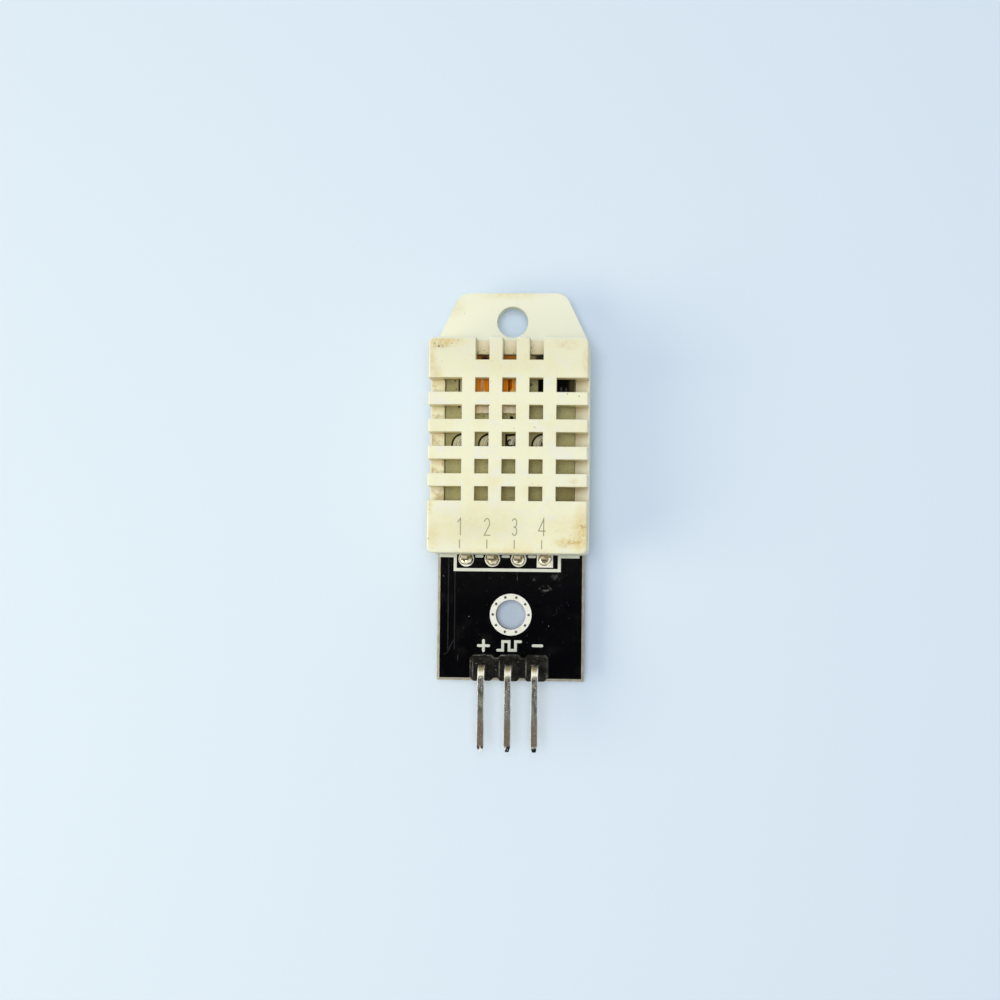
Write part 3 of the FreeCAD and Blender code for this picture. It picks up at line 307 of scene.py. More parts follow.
def makeBoardMask():
    # glossy black mask, hazy and dusty, with the bare laminate where the board's edges and holes are cut
    look = Finish("boardMask")
    kit = mask
    smudge = look.fade(look.noise(0.45, 5.0, 0.65), 0.50, 0.74)
    upper = look.times(look.fade(look.y, *kit["upper"]), 0.35)
    dull = look.most(look.times(smudge, 0.5), look.times(upper, look.noise(1.2, 4.0)))
    colour = look.tint(kit["black"], kit["haze"], dull)
    dust = look.most(look.specks(1.3, 0.055, 0.72), look.times(look.specks(3.1, 0.03, 0.70), 0.6))
    streaks = look.noise(1.0, 6.0, 0.7, look.stretched((6.0, 0.5, 1.0)))
    lint = look.times(look.fade(streaks, 0.66, 0.74), 0.3)
    rubbed = look.fade(look.noise(3.4, 6.0, 0.72), 0.46, 0.66)
    for middle, reach, strength in kit["scuffs"]:
        lint = look.most(lint, look.times(look.spot(middle, reach), rubbed, strength))
    colour = look.tint(colour, kit["dust"], look.most(dust, lint))
    threads = look.fade(look.noise(3.0, 4.0, 0.6, look.stretched((0.5, 0.5, 4.0))), 0.42, 0.62)
    bare = look.tint(kit["laminate"], kit["fibre"], threads)
    edge = look.fade(look.math("ABSOLUTE", look.facing()["Z"], 0.0), *kit["edge"])
    coated = look.between(look.most(dull, dust), *kit["roughness"])
    look.set(Base_Color=look.tint(colour, bare, edge), Specular_IOR_Level=kit["specular"],
             Roughness=look.most(coated, look.times(edge, kit["bareRoughness"])),
             Normal=look.bump(look.most(look.noise(1.6, 3.0), dust), 0.008, 0.35))
    return look.material


coveredTrace = {
    "black": seen(10, 10, 12), "haze": seen(30, 30, 32), "roughness": (0.34, 0.5), "specular": 0.3,
}


def makeTrace():
    # copper runs that lie raised under the black mask, so their shoulders catch the light
    look = Finish("coveredTrace")
    worn = look.fade(look.noise(1.3, 5.0, 0.65), 0.42, 0.66)
    look.set(Base_Color=look.tint(coveredTrace["black"], coveredTrace["haze"], worn),
             Roughness=look.between(worn, *coveredTrace["roughness"]),
             Specular_IOR_Level=coveredTrace["specular"],
             Normal=look.bump(look.noise(3.0, 3.0), 0.006, 0.4))
    return look.material


laminate = {
    "khaki": seen(198, 193, 138), "brown": seen(174, 160, 102), "dark": seen(140, 128, 76),
    "pale": seen(208, 208, 168), "mark": seen(24, 22, 18), "roughness": (0.38, 0.55),
    "towardCorner": (0.08, -0.16, 0.0), "cornerFade": (-1.2, 0.9),
    "cornerAt": (5.9, 2.4, 6.4), "cornerReach": (2.0, 2.4, 1.0),
    "burn": seen(184, 116, 30), "glowUp": (14.75, 15.05), "glowLeft": (2.4, 1.6),
    "char": seen(34, 26, 18), "darkRight": (2.0, 2.5), "shadeAt": (-2.5, 15.3, 6.4),
    "charAndShadeReach": (0.6, 0.7, 1.0),
    "blots": (  # place and size
        (1.9, 12.9, 6.4, 0.2), (2.6, 11.9, 6.4, 0.12), (4.4, 9.3, 6.4, 0.1), (5.2, 7.0, 6.4, 0.1),
        (-5.3, 13.2, 6.4, 0.12), (-5.2, 12.4, 6.4, 0.1),
    ),
}


def makeLaminate():
    # khaki laminate with its weave, browner toward the lower right; at its upper edge a painted orange glow
    # from the film and a near-black patch, painted shade at the first notch and dark debris at the third
    look = Finish("innerLaminate")
    kit = laminate
    broad = look.fade(look.noise(0.5, 4.0), 0.35, 0.70)
    along = look.add("VectorMath", {0: look.place, 1: kit["towardCorner"]}, "Value",
                     operation="DOT_PRODUCT")
    colour = look.tint(kit["khaki"], kit["brown"], broad, 0.4)
    colour = look.tint(colour, kit["brown"], look.fade(along, *kit["cornerFade"]), 0.8)
    weave = look.noise(6.0, 2.0, 0.5, look.stretched((1.0, 4.0, 1.0)))
    colour = look.tint(colour, kit["dark"], look.fade(weave, 0.5, 0.8), 0.35)
    mottle = look.noise(3.6, 5.0, 0.75)
    colour = look.tint(colour, kit["dark"], look.fade(mottle, 0.54, 0.68), 0.6)
    colour = look.tint(colour, kit["pale"], look.fade(mottle, 0.46, 0.32), 0.5)
    # painted orange glow from the film along the upper edge, then the near-black patch: painted shade and
    # debris
    head = look.times(look.fade(look.y, *kit["glowUp"]), look.between(mottle, 0.6, 1.3))
    colour = look.tint(colour, kit["burn"], head, look.fade(look.x, *kit["glowLeft"]))
    char = look.most(look.fade(look.x, *kit["darkRight"]), look.spot(kit["shadeAt"], kit["charAndShadeReach"], 0.2))
    colour = look.tint(colour, kit["char"], head, char)
    specks = look.specks(1.4, 0.05, 0.82)
    for x, y, z, size in kit["blots"]:
        specks = look.most(specks, look.spot((x, y, z), (size, size * 0.8, 1.0), 0.4))
    corner = look.times(look.spot(kit["cornerAt"], kit["cornerReach"]), look.between(mottle, 0.4, 0.9))
    colour = look.tint(colour, kit["dark"], corner)
    colour = look.tint(colour, kit["mark"], specks)
    look.set(Base_Color=colour, Roughness=look.between(look.noise(2.0), *kit["roughness"]),
             Normal=look.bump(weave, 0.01, 0.4))
    return look.material


def makeMetal(name, bright, dull, roughness, scale=1.2, tarnish=0.6, metallic=1.0, grain=0.006):
    # a tinned or plated metal: bright, with dull patches that are also rougher
    look = Finish(name)
    patches = look.fade(look.noise(scale, 5.0, 0.65), 0.42, 0.66)
    fine = look.noise(scale * 7, 3.0, 0.6)
    colour = look.tint(bright, dull, patches, tarnish)
    colour = look.tint(colour, dull, look.fade(fine, 0.58, 0.75), tarnish * 0.6)
    look.set(Base_Color=colour, Metallic=metallic, Roughness=look.between(patches, *roughness),
             Normal=look.bump(fine, grain, 0.5))
    return look.material


solder = {
    "tin": seen(252, 245, 216), "flux": seen(140, 104, 56), "haze": seen(206, 196, 160),
    "roughness": (0.12, 0.36), "fluxAt": (0.16, 0.05), "fluxReach": (0.34, 0.5, 1.2),
    "char": seen(52, 36, 22), "charAndShadeReach": (0.42, 0.5, 1.2), "metallic": (0.92, 0.5),
}


def makeSolder():
    # bright tin with dull clouds, and burnt flux on the right of each lead
    look = Finish("solder")
    kit = solder
    clouds = look.fade(look.noise(1.9, 5.0, 0.65), 0.50, 0.62)
    colour = look.tint(kit["tin"], kit["haze"], clouds, 0.7)
    ragged = look.fade(look.noise(3.2, 5.0, 0.7), 0.40, 0.58)
    burnt = look.times(look.fade(look.noise(1.4, 4.0, 0.6), 0.56, 0.66), 0.6)
    for number in (1, 2, 3, 4):
        low, high = boxOf(f"sensor_solder_{number}")
        middle = (*((low + high)[:2] / 2 + kit["fluxAt"]), high[2])
        burnt = look.most(burnt, look.times(look.spot(middle, kit["fluxReach"], 0.3), ragged))
    colour = look.tint(colour, kit["flux"], burnt, 0.85)
    low, high = boxOf("inner_solder_3")
    charred = look.times(look.spot(tuple((low + high) / 2), kit["charAndShadeReach"], 0.4), ragged)
    colour = look.tint(colour, kit["char"], charred)
    burnt = look.most(burnt, charred)
    look.set(Base_Color=colour, Metallic=look.between(burnt, *kit["metallic"]),
             Roughness=look.between(look.most(clouds, burnt), *kit["roughness"]),
             Normal=look.bump(look.noise(2.4, 3.0), 0.05, 0.6))
    return look.material


pins = {
    "bright": seen(250, 244, 222), "grey": seen(216, 214, 206), "brown": seen(184, 162, 134),
    "dark": seen(66, 70, 68), "black": seen(22, 24, 24), "tan": seen(200, 182, 140),
    "cut": seen(255, 255, 250), "roughness": (0.2, 0.45), "metallic": 0.78, "spacing": 2.54,
    # pairs: where along the pin, or aside from its middle, something starts to show and where it is full
    "bend": (-15.08, -14.9), "foot": (-14.6, -14.25), "brownEnd": (-18.2, -19.4),
    "greyPart": (-19.4, -17.8), "tornHead": (-14.9, -15.1), "tornEnd": (-17.6, -16.4),
    "tip": (-21.25, -21.45), "edge": (0.19, 0.26),
}


def makePin():
    # tinned brass: a painted highlight on the bend, painted glint lines and dark streaks along the grey pin,
    # brown towards its cut tip
    look = Finish("tinnedPin")
    kit = pins
    along = look.stretched((4.5, 0.7, 3.0))
    onBend = look.fade(look.y, *kit["bend"])
    lower = look.times(look.fade(look.y, *kit["brownEnd"]), look.between(look.noise(0.8, 2.0), 0.4, 0.95))
    colour = look.tint(kit["grey"], kit["brown"], lower)
    # painted glint lines along the pin
    lines = look.fade(look.noise(0.9, 4.0, 0.6, along), 0.5, 0.7)
    colour = look.tint(colour, kit["bright"], lines, 0.5)
    # painted highlight on the bend
    colour = look.tint(colour, kit["bright"], onBend)
    top = look.times(look.fade(look.y, *kit["foot"]), look.between(look.noise(2.6, 4.0), 0.4, 1.2))
    colour = look.tint(colour, kit["tan"], top)

    # dark streaks, scuffs and torn flecks, least at the pin's edges, which get a painted glint
    upper = look.between(look.fade(look.y, *kit["greyPart"]), 0.2, 0.9)
    broad = look.stretched((2.8, 0.55, 1.5), (0.4, 0.35, 0.0))
    streaks = look.times(look.fade(look.noise(1.5, 4.0, 0.65, broad), 0.48, 0.56), upper)
    scuffs = look.times(look.fade(look.noise(2.4, 5.0, 0.7, along), 0.56, 0.66), 0.45)
    low, high = boxOf("header_pin_2")
    fromMiddle = look.math("SUBTRACT", look.x, (low + high)[0] / 2)
    onEdge = look.fade(look.math("PINGPONG", fromMiddle, kit["spacing"] / 2), *kit["edge"])
    below = look.times(look.fade(look.y, *kit["tornHead"]), look.fade(look.y, *kit["tornEnd"]))
    torn = look.noise(1.5, 4.0, 0.7, look.stretched((2.6, 1.1, 1.5), (0.3, 0.2, 0.0)))
    flecks = look.times(look.fade(torn, 0.47, 0.53), below, 0.95)
    worn = look.most(look.times(streaks, look.between(below, 1.0, 0.5)), scuffs, flecks)
    worn = look.times(worn, look.between(onBend, 0.95, 0.1), look.between(onEdge, 1.0, 0.25))
    # painted glint along the pin's edges, in the colour of the cut end
    glint = look.times(onEdge, upper, look.fade(look.noise(0.8, 3.0), 0.32, 0.50))
    colour = look.tint(colour, kit["cut"], glint)
    cut = look.fade(look.y, *kit["tip"])
    colour = look.tint(colour, kit["cut"], cut)
    colour = look.tint(colour, kit["dark"], worn)
    shadedTip = look.times(cut, look.fade(look.noise(1.8, 1.0), 0.43, 0.51))
    colour = look.tint(colour, kit["black"], shadedTip)
    look.set(Base_Color=colour, Metallic=kit["metallic"], Roughness=look.between(worn, *kit["roughness"]),
             Normal=look.bump(look.noise(3.0, 4.0, 0.6, along), 0.014, 0.4))
    return look.material


headerPlastic = {
    "black": seen(6, 5, 4), "dusty": seen(54, 52, 45), "dust": seen(176, 174, 164), "specular": 0.2,
    "roughness": (0.4, 0.75), "ribs": (-3.42, -0.88, 1.66), "ribAt": (-14.15, 5.0),
    "ribReach": (0.09, 1.1, 3.0), "sides": (3.36, 3.68), "edges": (0.985, 0.90),
    "joints": ((-1.27, -14.1, 4.1), (1.27, -14.1, 4.1)), "jointReach": (0.36, 2.6, 3.0),
}


def makeHeaderPlastic():
    # black moulding, dusty in patches, with pale rubbed edges where its faces turn and painted shade at the
    # joints between blocks
    look = Finish("headerPlastic")
    kit = headerPlastic
    dusty = look.fade(look.noise(1.3, 6.0, 0.7), 0.42, 0.70)
    colour = look.tint(kit["black"], kit["dusty"], dusty, 0.65)
    # painted shade in the notches between the blocks
    for joint in kit["joints"]:
        colour = look.tint(colour, kit["black"], look.spot(joint, kit["jointReach"], 0.5), 0.7)
    normal = look.add("NewGeometry", {}, "Normal")
    straight = look.most(*look.split(look.add("VectorMath", {0: normal}, operation="ABSOLUTE")))
    worn = look.fade(look.noise(2.2, 5.0, 0.7), 0.46, 0.66)
    rubbed = look.times(look.fade(straight, *kit["edges"]), worn)
    for rib in kit["ribs"]:
        caught = look.spot((rib, *kit["ribAt"]), kit["ribReach"], 0.4)
        rubbed = look.most(rubbed, look.times(caught, look.between(dusty, 0.25, 0.6)))
    lint = look.most(look.specks(2.6, 0.05, 0.60), look.times(look.specks(6.0, 0.03, 0.50), 0.8))
    side = look.fade(look.math("ABSOLUTE", look.x, 0.0), *kit["sides"])
    lint = look.most(lint, look.times(side, look.fade(look.noise(2.4, 5.0, 0.7), 0.46, 0.70), 0.3))
    colour = look.tint(colour, kit["dust"], look.most(lint, rubbed), 0.8)
    look.set(Base_Color=colour, Roughness=look.between(dusty, *kit["roughness"]),
             Specular_IOR_Level=kit["specular"], Normal=look.bump(look.noise(4.0, 5.0, 0.65), 0.02, 0.6))
    return look.material


def makeCeramic(name, pale, shade, roughness=(0.5, 0.7), scale=1.2, grain=0.01):
    # a fired or moulded body: two near shades in soft clouds, a fine grain
    look = Finish(name)
    clouds = look.fade(look.noise(scale, 5.0, 0.6), 0.35, 0.68)
    look.set(Base_Color=look.tint(pale, shade, clouds), Roughness=look.between(clouds, *roughness),
             Normal=look.bump(look.noise(scale * 9, 3.0), grain, 0.5))
    return look.material


film = {
    "orange": seen(246, 152, 30), "rust": seen(226, 118, 14), "gold": seen(255, 200, 90),
    "shine": seen(255, 206, 92), "shineReach": (0.42, 0.34, 1.0), "burn": seen(90, 40, 8),
    "shines": ((0.26, 12.08, 7.45), (-2.55, 12.0, 7.45)), "brown": seen(150, 66, 8),
    "seamLeft": (-0.2, 0.0), "seamRight": (0.22, 0.12), "roughness": (0.25, 0.45), "specular": 0.2,
}


def makeFilm():
    # orange sensing film over fine upright electrodes, with a brown seam and two painted highlights low down
    look = Finish("orangeFilm")
    kit = film
    lines = look.add("TexWave", {"Vector": look.place, "Scale": 1.15, "Distortion": 1.4, "Detail": 2.0,
                                 "Detail Scale": 1.5}, bands_direction="X")
    broad = look.noise(0.9, 4.0, 0.6, look.stretched((2.5, 0.5, 1.0)))
    colour = look.tint(kit["orange"], kit["rust"], look.fade(lines, 0.25, 0.95), 0.7)
    colour = look.tint(colour, kit["gold"], look.fade(broad, 0.5, 0.7), 0.5)
    seam = look.times(look.fade(look.x, *kit["seamLeft"]), look.fade(look.x, *kit["seamRight"]))
    colour = look.tint(colour, kit["brown"], seam, look.between(broad, 0.5, 1.2))
    # two painted highlights low on the film
    for middle in kit["shines"]:
        patch = look.times(look.spot(middle, kit["shineReach"], 0.3), look.between(broad, 0.6, 1.3))
        colour = look.tint(colour, kit["shine"], patch)
    colour = look.tint(colour, kit["burn"], look.specks(0.9, 0.09, 0.55), 0.8)
    look.set(Base_Color=colour, Roughness=look.between(broad, *kit["roughness"]),
             Specular_IOR_Level=kit["specular"], Normal=look.bump(lines, 0.01, 0.5))
    return look.material


substrate = {
    "pale": seen(255, 248, 216), "shade": seen(254, 238, 196), "mauve": seen(250, 228, 188),
    "side": seen(190, 186, 146), "mauveUp": (10.6, 10.9), "sideLeft": (-4.35, -4.6),
    "roughness": (0.5, 0.7),
}


def makeSubstrate():
    # pale fired ceramic, mauve where the film ends and dark on its left side
    look = Finish("paleCeramic")
    kit = substrate
    clouds = look.fade(look.noise(1.2, 5.0, 0.6), 0.35, 0.68)
    colour = look.tint(kit["pale"], kit["shade"], clouds)
    torn = look.between(look.noise(1.5, 3.0), 0.4, 1.2)
    colour = look.tint(colour, kit["mauve"], look.fade(look.y, *kit["mauveUp"]), torn)
    colour = look.tint(colour, kit["side"], look.fade(look.x, *kit["sideLeft"]))
    look.set(Base_Color=colour, Roughness=look.between(clouds, *kit["roughness"]),
             Normal=look.bump(look.noise(9.0, 3.0), 0.01, 0.5))
    return look.material


wire = {
    "bright": seen(232, 226, 208), "dull": seen(150, 128, 100), "burnt": seen(122, 56, 8),
    "glazed": seen(250, 234, 194), "lowest": seen(184, 174, 122), "metallic": 0.35,
    "between": (-1.6, -1.1), "bareUp": (11.0, 11.3), "lowestDown": (10.2, 10.0),
    "roughness": (0.3, 0.5), "specular": 0.15,
}


def makeWire():
    # tinned wires: the left one bright, the right one painted dark brown as a dark reflection, both glazed
    # over below the film
    look = Finish("elementWire")
    kit = wire
    patches = look.fade(look.noise(1.1, 5.0, 0.65), 0.42, 0.66)
    colour = look.tint(kit["bright"], kit["dull"], patches, 0.6)
    onRight, bareUp = look.fade(look.x, *kit["between"]), look.fade(look.y, *kit["bareUp"])
    # the right wire: a painted dark reflection, in dark brown
    colour = look.tint(colour, kit["burnt"], onRight)
    colour = look.tint(kit["glazed"], colour, bareUp)
    colour = look.tint(colour, kit["lowest"], look.fade(look.y, *kit["lowestDown"]))
    bare = look.times(bareUp, look.math("SUBTRACT", 1.0, onRight))
    look.set(Base_Color=colour, Metallic=look.times(bare, kit["metallic"]),
             Roughness=look.between(patches, *kit["roughness"]), Specular_IOR_Level=kit["specular"],
             Normal=look.bump(look.noise(8.0, 3.0), 0.006, 0.5))
    return look.material


element = {
    "black": seen(4, 3, 2), "brown": seen(14, 11, 7), "olive": seen(72, 66, 42),
    "streak": seen(120, 120, 126), "oliveRight": (5.45, 5.75),
    "streaks": ((4.85, 12.3, 7.9), (5.3, 12.25, 7.9)), "streakReach": (0.13, 0.32, 0.6),
    "roughness": (0.5, 0.7), "specular": 0.12,
}


def makeElement():
    # black bead of the temperature element: two pale drips, and olive painted on its right side as the board
    # in shade
    look = Finish("elementBlack")
    kit = element
    clouds = look.fade(look.noise(1.8, 5.0, 0.6), 0.35, 0.68)
    colour = look.tint(kit["black"], kit["brown"], clouds)
    for middle in kit["streaks"]:
        drip = look.times(look.spot(middle, kit["streakReach"], 0.2), look.between(clouds, 0.3, 0.6))
        colour = look.tint(colour, kit["streak"], drip)
    # olive painted on the right side as the board in shade
    dusty = look.times(look.fade(look.x, *kit["oliveRight"]), look.between(clouds, 0.7, 1.0))
    colour = look.tint(colour, kit["olive"], dusty)
    look.set(Base_Color=colour, Roughness=look.between(clouds, *kit["roughness"]),
             Specular_IOR_Level=kit["specular"], Normal=look.bump(look.noise(8.0, 3.0), 0.02, 0.5))
    return look.material


def makePrint(name, ink, worn, wear=0.35):
    # a printed ink: solid, with worn spots where the ground shows through as a duller tone
    look = Finish(name)
    spots = look.fade(look.noise(4.0, 5.0, 0.7), 0.52, 0.74)
    look.set(Base_Color=look.tint(ink, worn, spots, wear),
             Roughness=look.between(spots, 0.45, 0.7), Normal=look.bump(look.noise(9.0, 3.0), 0.006, 0.5))
    return look.material


materials = {
    "case": makePlastic(),
    "mask": makeBoardMask(),
    "laminate": makeLaminate(),
    "copper": makeMetal("tinnedCopper", seen(255, 255, 248), seen(226, 222, 206), (0.45, 0.65), 1.6, 0.5,
                        metallic=0.3),
    "trace": makeTrace(),
    "solder": makeSolder(),
    "header": makeHeaderPlastic(),
    "pin": makePin(),
    "lead": makeMetal("leadMetal", seen(206, 196, 164), seen(130, 108, 74), (0.3, 0.55), 2.2, 0.8),
    "wire": makeWire(),
    "endMetal": makeMetal("endMetal", seen(214, 214, 206), seen(160, 156, 146), (0.3, 0.5), 2.6, 0.6),
    "ceramic": makeSubstrate(),
    "film": makeFilm(),
    "element": makeElement(),
    "epoxy": makeCeramic("chipBlack", seen(10, 8, 6), seen(24, 20, 15), (0.4, 0.6), 1.8, 0.02),
    "resistor": makeCeramic("resistorBlack", seen(18, 18, 20), seen(34, 34, 36), (0.3, 0.5), 1.6),
    "capacitor": makeCeramic("capacitorBrown", seen(176, 146, 104), seen(156, 124, 84), (0.35, 0.55), 1.5),
    "ink": makePrint("whiteInk", seen(222, 226, 214), seen(150, 150, 138)),
    "plating": makePrint("padPlating", seen(222, 216, 178), seen(150, 140, 100), 0.8),
    "blackInk": makePrint("blackInk", seen(16, 15, 13), seen(46, 42, 32)),
    "flux": makePrint("burntFlux", seen(40, 28, 12), seen(84, 66, 34), 0.7),
    "brokenInk": makePrint("brokenInk", seen(18, 17, 14), seen(150, 142, 96), 1.0),
    "engraving": makePrint("engraving", seen(158, 152, 120), seen(196, 188, 150), 0.7),
}

finishOf = {  # CAD nodes by the start of their names, the longer start first
    "grille_cover": "case", "rear_shell": "case", "carrier_board": "mask", "inner_board": "laminate",
    "mounting_ring": "copper", "sensor_pad": "copper", "header_pad": "copper", "inner_pad": "copper",
    "sensor_solder": "solder", "inner_solder": "solder", "header_solder": "solder",
    "header_base": "header", "header_pin": "pin", "sensor_lead": "lead", "humidity_wires": "wire",
    "temperature_feet": "lead", "controller_feet": "lead", "humidity_substrate": "ceramic",
    "humidity_film": "film", "temperature_element": "element", "controller_chip": "epoxy",
    "inner_capacitor": "capacitor", "pull_up_resistor": "resistor", "board_capacitor": "capacitor",
}
finishOfEnding = {"_ends": "endMetal", "_lands": "copper", "_solder": "solder"}


def finishFor(node):
    for ending, finish in finishOfEnding.items():
        if node.endswith(ending):
            return materials[finish]
    for start, finish in finishOf.items():
        if node.startswith(start):
            return materials[finish]
    raise ValueError(f"no finish for {node}")


for name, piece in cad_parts.items():
    piece.data.materials.clear()
    piece.data.materials.append(finishFor(name))
print("finishes given to", len(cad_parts), "CAD nodes")


softening = {
    "sharpest": 32.0, "flatWithin": 1.0, "smoothUpTo": 40.0,  # degrees
    "segments": 3, "mergeWithin": 1e-7, "frontDepth": 0.01,  # merging in metres, depth in millimetres
}


def roundEdges(form, width, above=-math.inf):
    # rounds the sharp edges whose ends both lie at or above a height, all in millimetres
    corners = [edge for edge in form.edges
               if edge.is_manifold and edge.calc_face_angle(0.0) > math.radians(softening["sharpest"])
               and min(end.co.z for end in edge.verts) >= above * metresPerMm]
    bmesh.ops.bevel(form, geom=corners, offset=width * metresPerMm, segments=softening["segments"],
                    profile=0.5, affect="EDGES", clamp_overlap=True)


def softened(node, width):
    # a merged copy of a CAD node whose edges are rounded inward by the width, in millimetres
    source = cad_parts[node]
    mesh = source.data.copy()
    form = bmesh.new()
    form.from_mesh(mesh)
    bmesh.ops.remove_doubles(form, verts=form.verts, dist=softening["mergeWithin"])
    bmesh.ops.dissolve_limit(form, angle_limit=math.radians(softening["flatWithin"]), verts=form.verts,
                             edges=form.edges)
    if node in frontRounds:
        roundEdges(form, frontRounds[node], boxOf(node)[1][2] - softening["frontDepth"])
    if width:
        roundEdges(form, width)
    form.to_mesh(mesh)
    form.free()
    words = node.split("_")
    piece = bpy.data.objects.new(words[0] + "".join(word.capitalize() for word in words[1:]), mesh)
    bpy.context.scene.collection.objects.link(piece)
    mesh.shade_smooth()
    mesh.set_sharp_from_angle(angle=math.radians(softening["smoothUpTo"]))
    even = piece.modifiers.new("evenNormals", "WEIGHTED_NORMAL")
    even.keep_sharp = True
    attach(piece, "root")
    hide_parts(node)


frontRounds = {"grille_cover": 0.20}  # how far the edges of a front face are rounded
edgeRounds = {  # how far each moulded or rolled edge is rounded; solder is only smoothed
    "grille_cover": 0.06, "rear_shell": 0.16, "header_base": 0.07, "temperature_element": 0.08,
    "controller_chip": 0.05, "humidity_substrate": 0.04,
    **{f"header_pin_{number}": 0.035 for number in (1, 2, 3)},
    **{f"sensor_lead_{number}": 0.03 for number in (1, 2, 3, 4)},
    **{f"sensor_solder_{number}": 0.0 for number in (1, 2, 3, 4)},
    **{f"inner_solder_{number}": 0.0 for number in (1, 2, 3, 4)},
    **{f"header_solder_{number}": 0.0 for number in (1, 2, 3)},
    "mounting_ring": 0.0,
}
for node, width in edgeRounds.items():
    softened(node, width)
print("softened", len(edgeRounds), "moulded and rolled pieces")


def roundEnds(points, width):
    # adds to both ends of an open path a half circle, given as places along it and shares of its width
    angles = np.radians([80.0, 55.0, 28.0])
    start = (points[0] - points[1]) / np.linalg.norm(points[0] - points[1])
    stop = (points[-1] - points[-2]) / np.linalg.norm(points[-1] - points[-2])
    out = np.sin(angles)[:, None] * width / 2
    path = np.vstack([points[0] + out * start, points, points[-1] + out[::-1] * stop])
    shares = np.concatenate([np.cos(angles), np.ones(len(points)), np.cos(angles)[::-1]])
    return path, shares


def stroke(points, width, height, level, closed=False):
    # A flat printed line: its section, a low plateau with eased shoulders, is carried along the path. At
    # each point the section is set across the mean of the two runs and widened there, so that the line
    # keeps its width round a corner.
    points = np.array(points, float)
    shares = np.ones(len(points))
    if not closed:
        points, shares = roundEnds(points, width)
    after = np.roll(points, -1, 0) - points
    before = points - np.roll(points, 1, 0)
    if not closed:
        after[-1] = before[-1]
        before[0] = after[0]
    after /= np.linalg.norm(after, axis=1)[:, None]
    before /= np.linalg.norm(before, axis=1)[:, None]
    across = np.stack([-(after + before)[:, 1], (after + before)[:, 0]], 1)
    across /= (1 + np.sum(after * before, 1))[:, None]
    section = np.array([(-0.5, 0.0), (-0.47, 0.7), (-0.38, 1.0), (0.38, 1.0), (0.47, 0.7), (0.5, 0.0)])
    spread = (section[:, 0] * width)[None, :, None] * shares[:, None, None]
    sides = points[:, None, :] + across[:, None, :] * spread
    heights = np.broadcast_to(level + section[:, 1] * height, sides.shape[:2])
    corners = np.concatenate([sides, heights[:, :, None]], 2).reshape(-1, 3)
    count, ring = len(points), len(section)
    rows = np.arange(count if closed else count - 1)[:, None]
    steps = np.arange(ring)[None, :]
    here, beyond = rows * ring, (rows + 1) % count * ring
    turned = (steps + 1) % ring
    faces = np.stack([here + steps, here + turned, beyond + turned, beyond + steps], 2)
    faces = faces.reshape(-1, 4).tolist()
    if not closed:
        faces += [list(range(ring))[::-1], [(count - 1) * ring + step for step in range(ring)]]
    return corners, faces


def pieceOf(name, parts, material):
    # one object from several parts, each an array of corners in millimetres and its faces
    corners, faces, first = [], [], 0
    for places, quads in parts:
        corners.append(places)
        faces += [[first + corner for corner in quad] for quad in quads]
        first += len(places)
    mesh = bpy.data.meshes.new(name)
    mesh.from_pydata((np.vstack(corners) * metresPerMm).tolist(), [], faces)
    form = bmesh.new()
    form.from_mesh(mesh)
    bmesh.ops.recalc_face_normals(form, faces=form.faces)
    form.to_mesh(mesh)
    form.free()
    mesh.materials.append(material)
    piece = bpy.data.objects.new(name, mesh)
    bpy.context.scene.collection.objects.link(piece)
    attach(piece, "root")
    return piece


def arc(centre, radius, first, last, steps=24):
    # points on a circle between two angles in degrees
    angles = np.radians(np.linspace(first, last, steps))
    return np.stack([centre[0] + radius * np.cos(angles), centre[1] + radius * np.sin(angles)], 1)


def circle(centre, radius, steps=48):
    # points all round a circle, without the first one again
    return arc(centre, radius, 0.0, 360.0 - 360.0 / steps, steps)


silkscreen = {
    "line": 0.30, "height": 0.015, "crossing": 1.2,  # how much higher a line lies where it crosses another
    "outlineLeft": -6.8, "outlineRight": 6.45, "outlineFoot": -3.42, "outlineHead": 14.9,
    "boxLeft": -5.43, "boxRight": 4.66, "boxFoot": -4.76, "boxTall": 2.64, "overlap": 0.15,
    "dashes": (-3.1, -0.54, 2.0), "dash": 0.55, "dashLevel": -3.45, "dashLine": 0.26,
    "signLevel": -12.08, "plusAt": -2.60, "signalAt": -0.12, "minusAt": 2.62, "minusLevel": -12.03,
    "plusReach": 0.5, "minusReach": 0.42, "signLine": 0.27,
    "pulse": 0.62, "pulseEnd": 1.1, "pulseReach": 0.42,
}


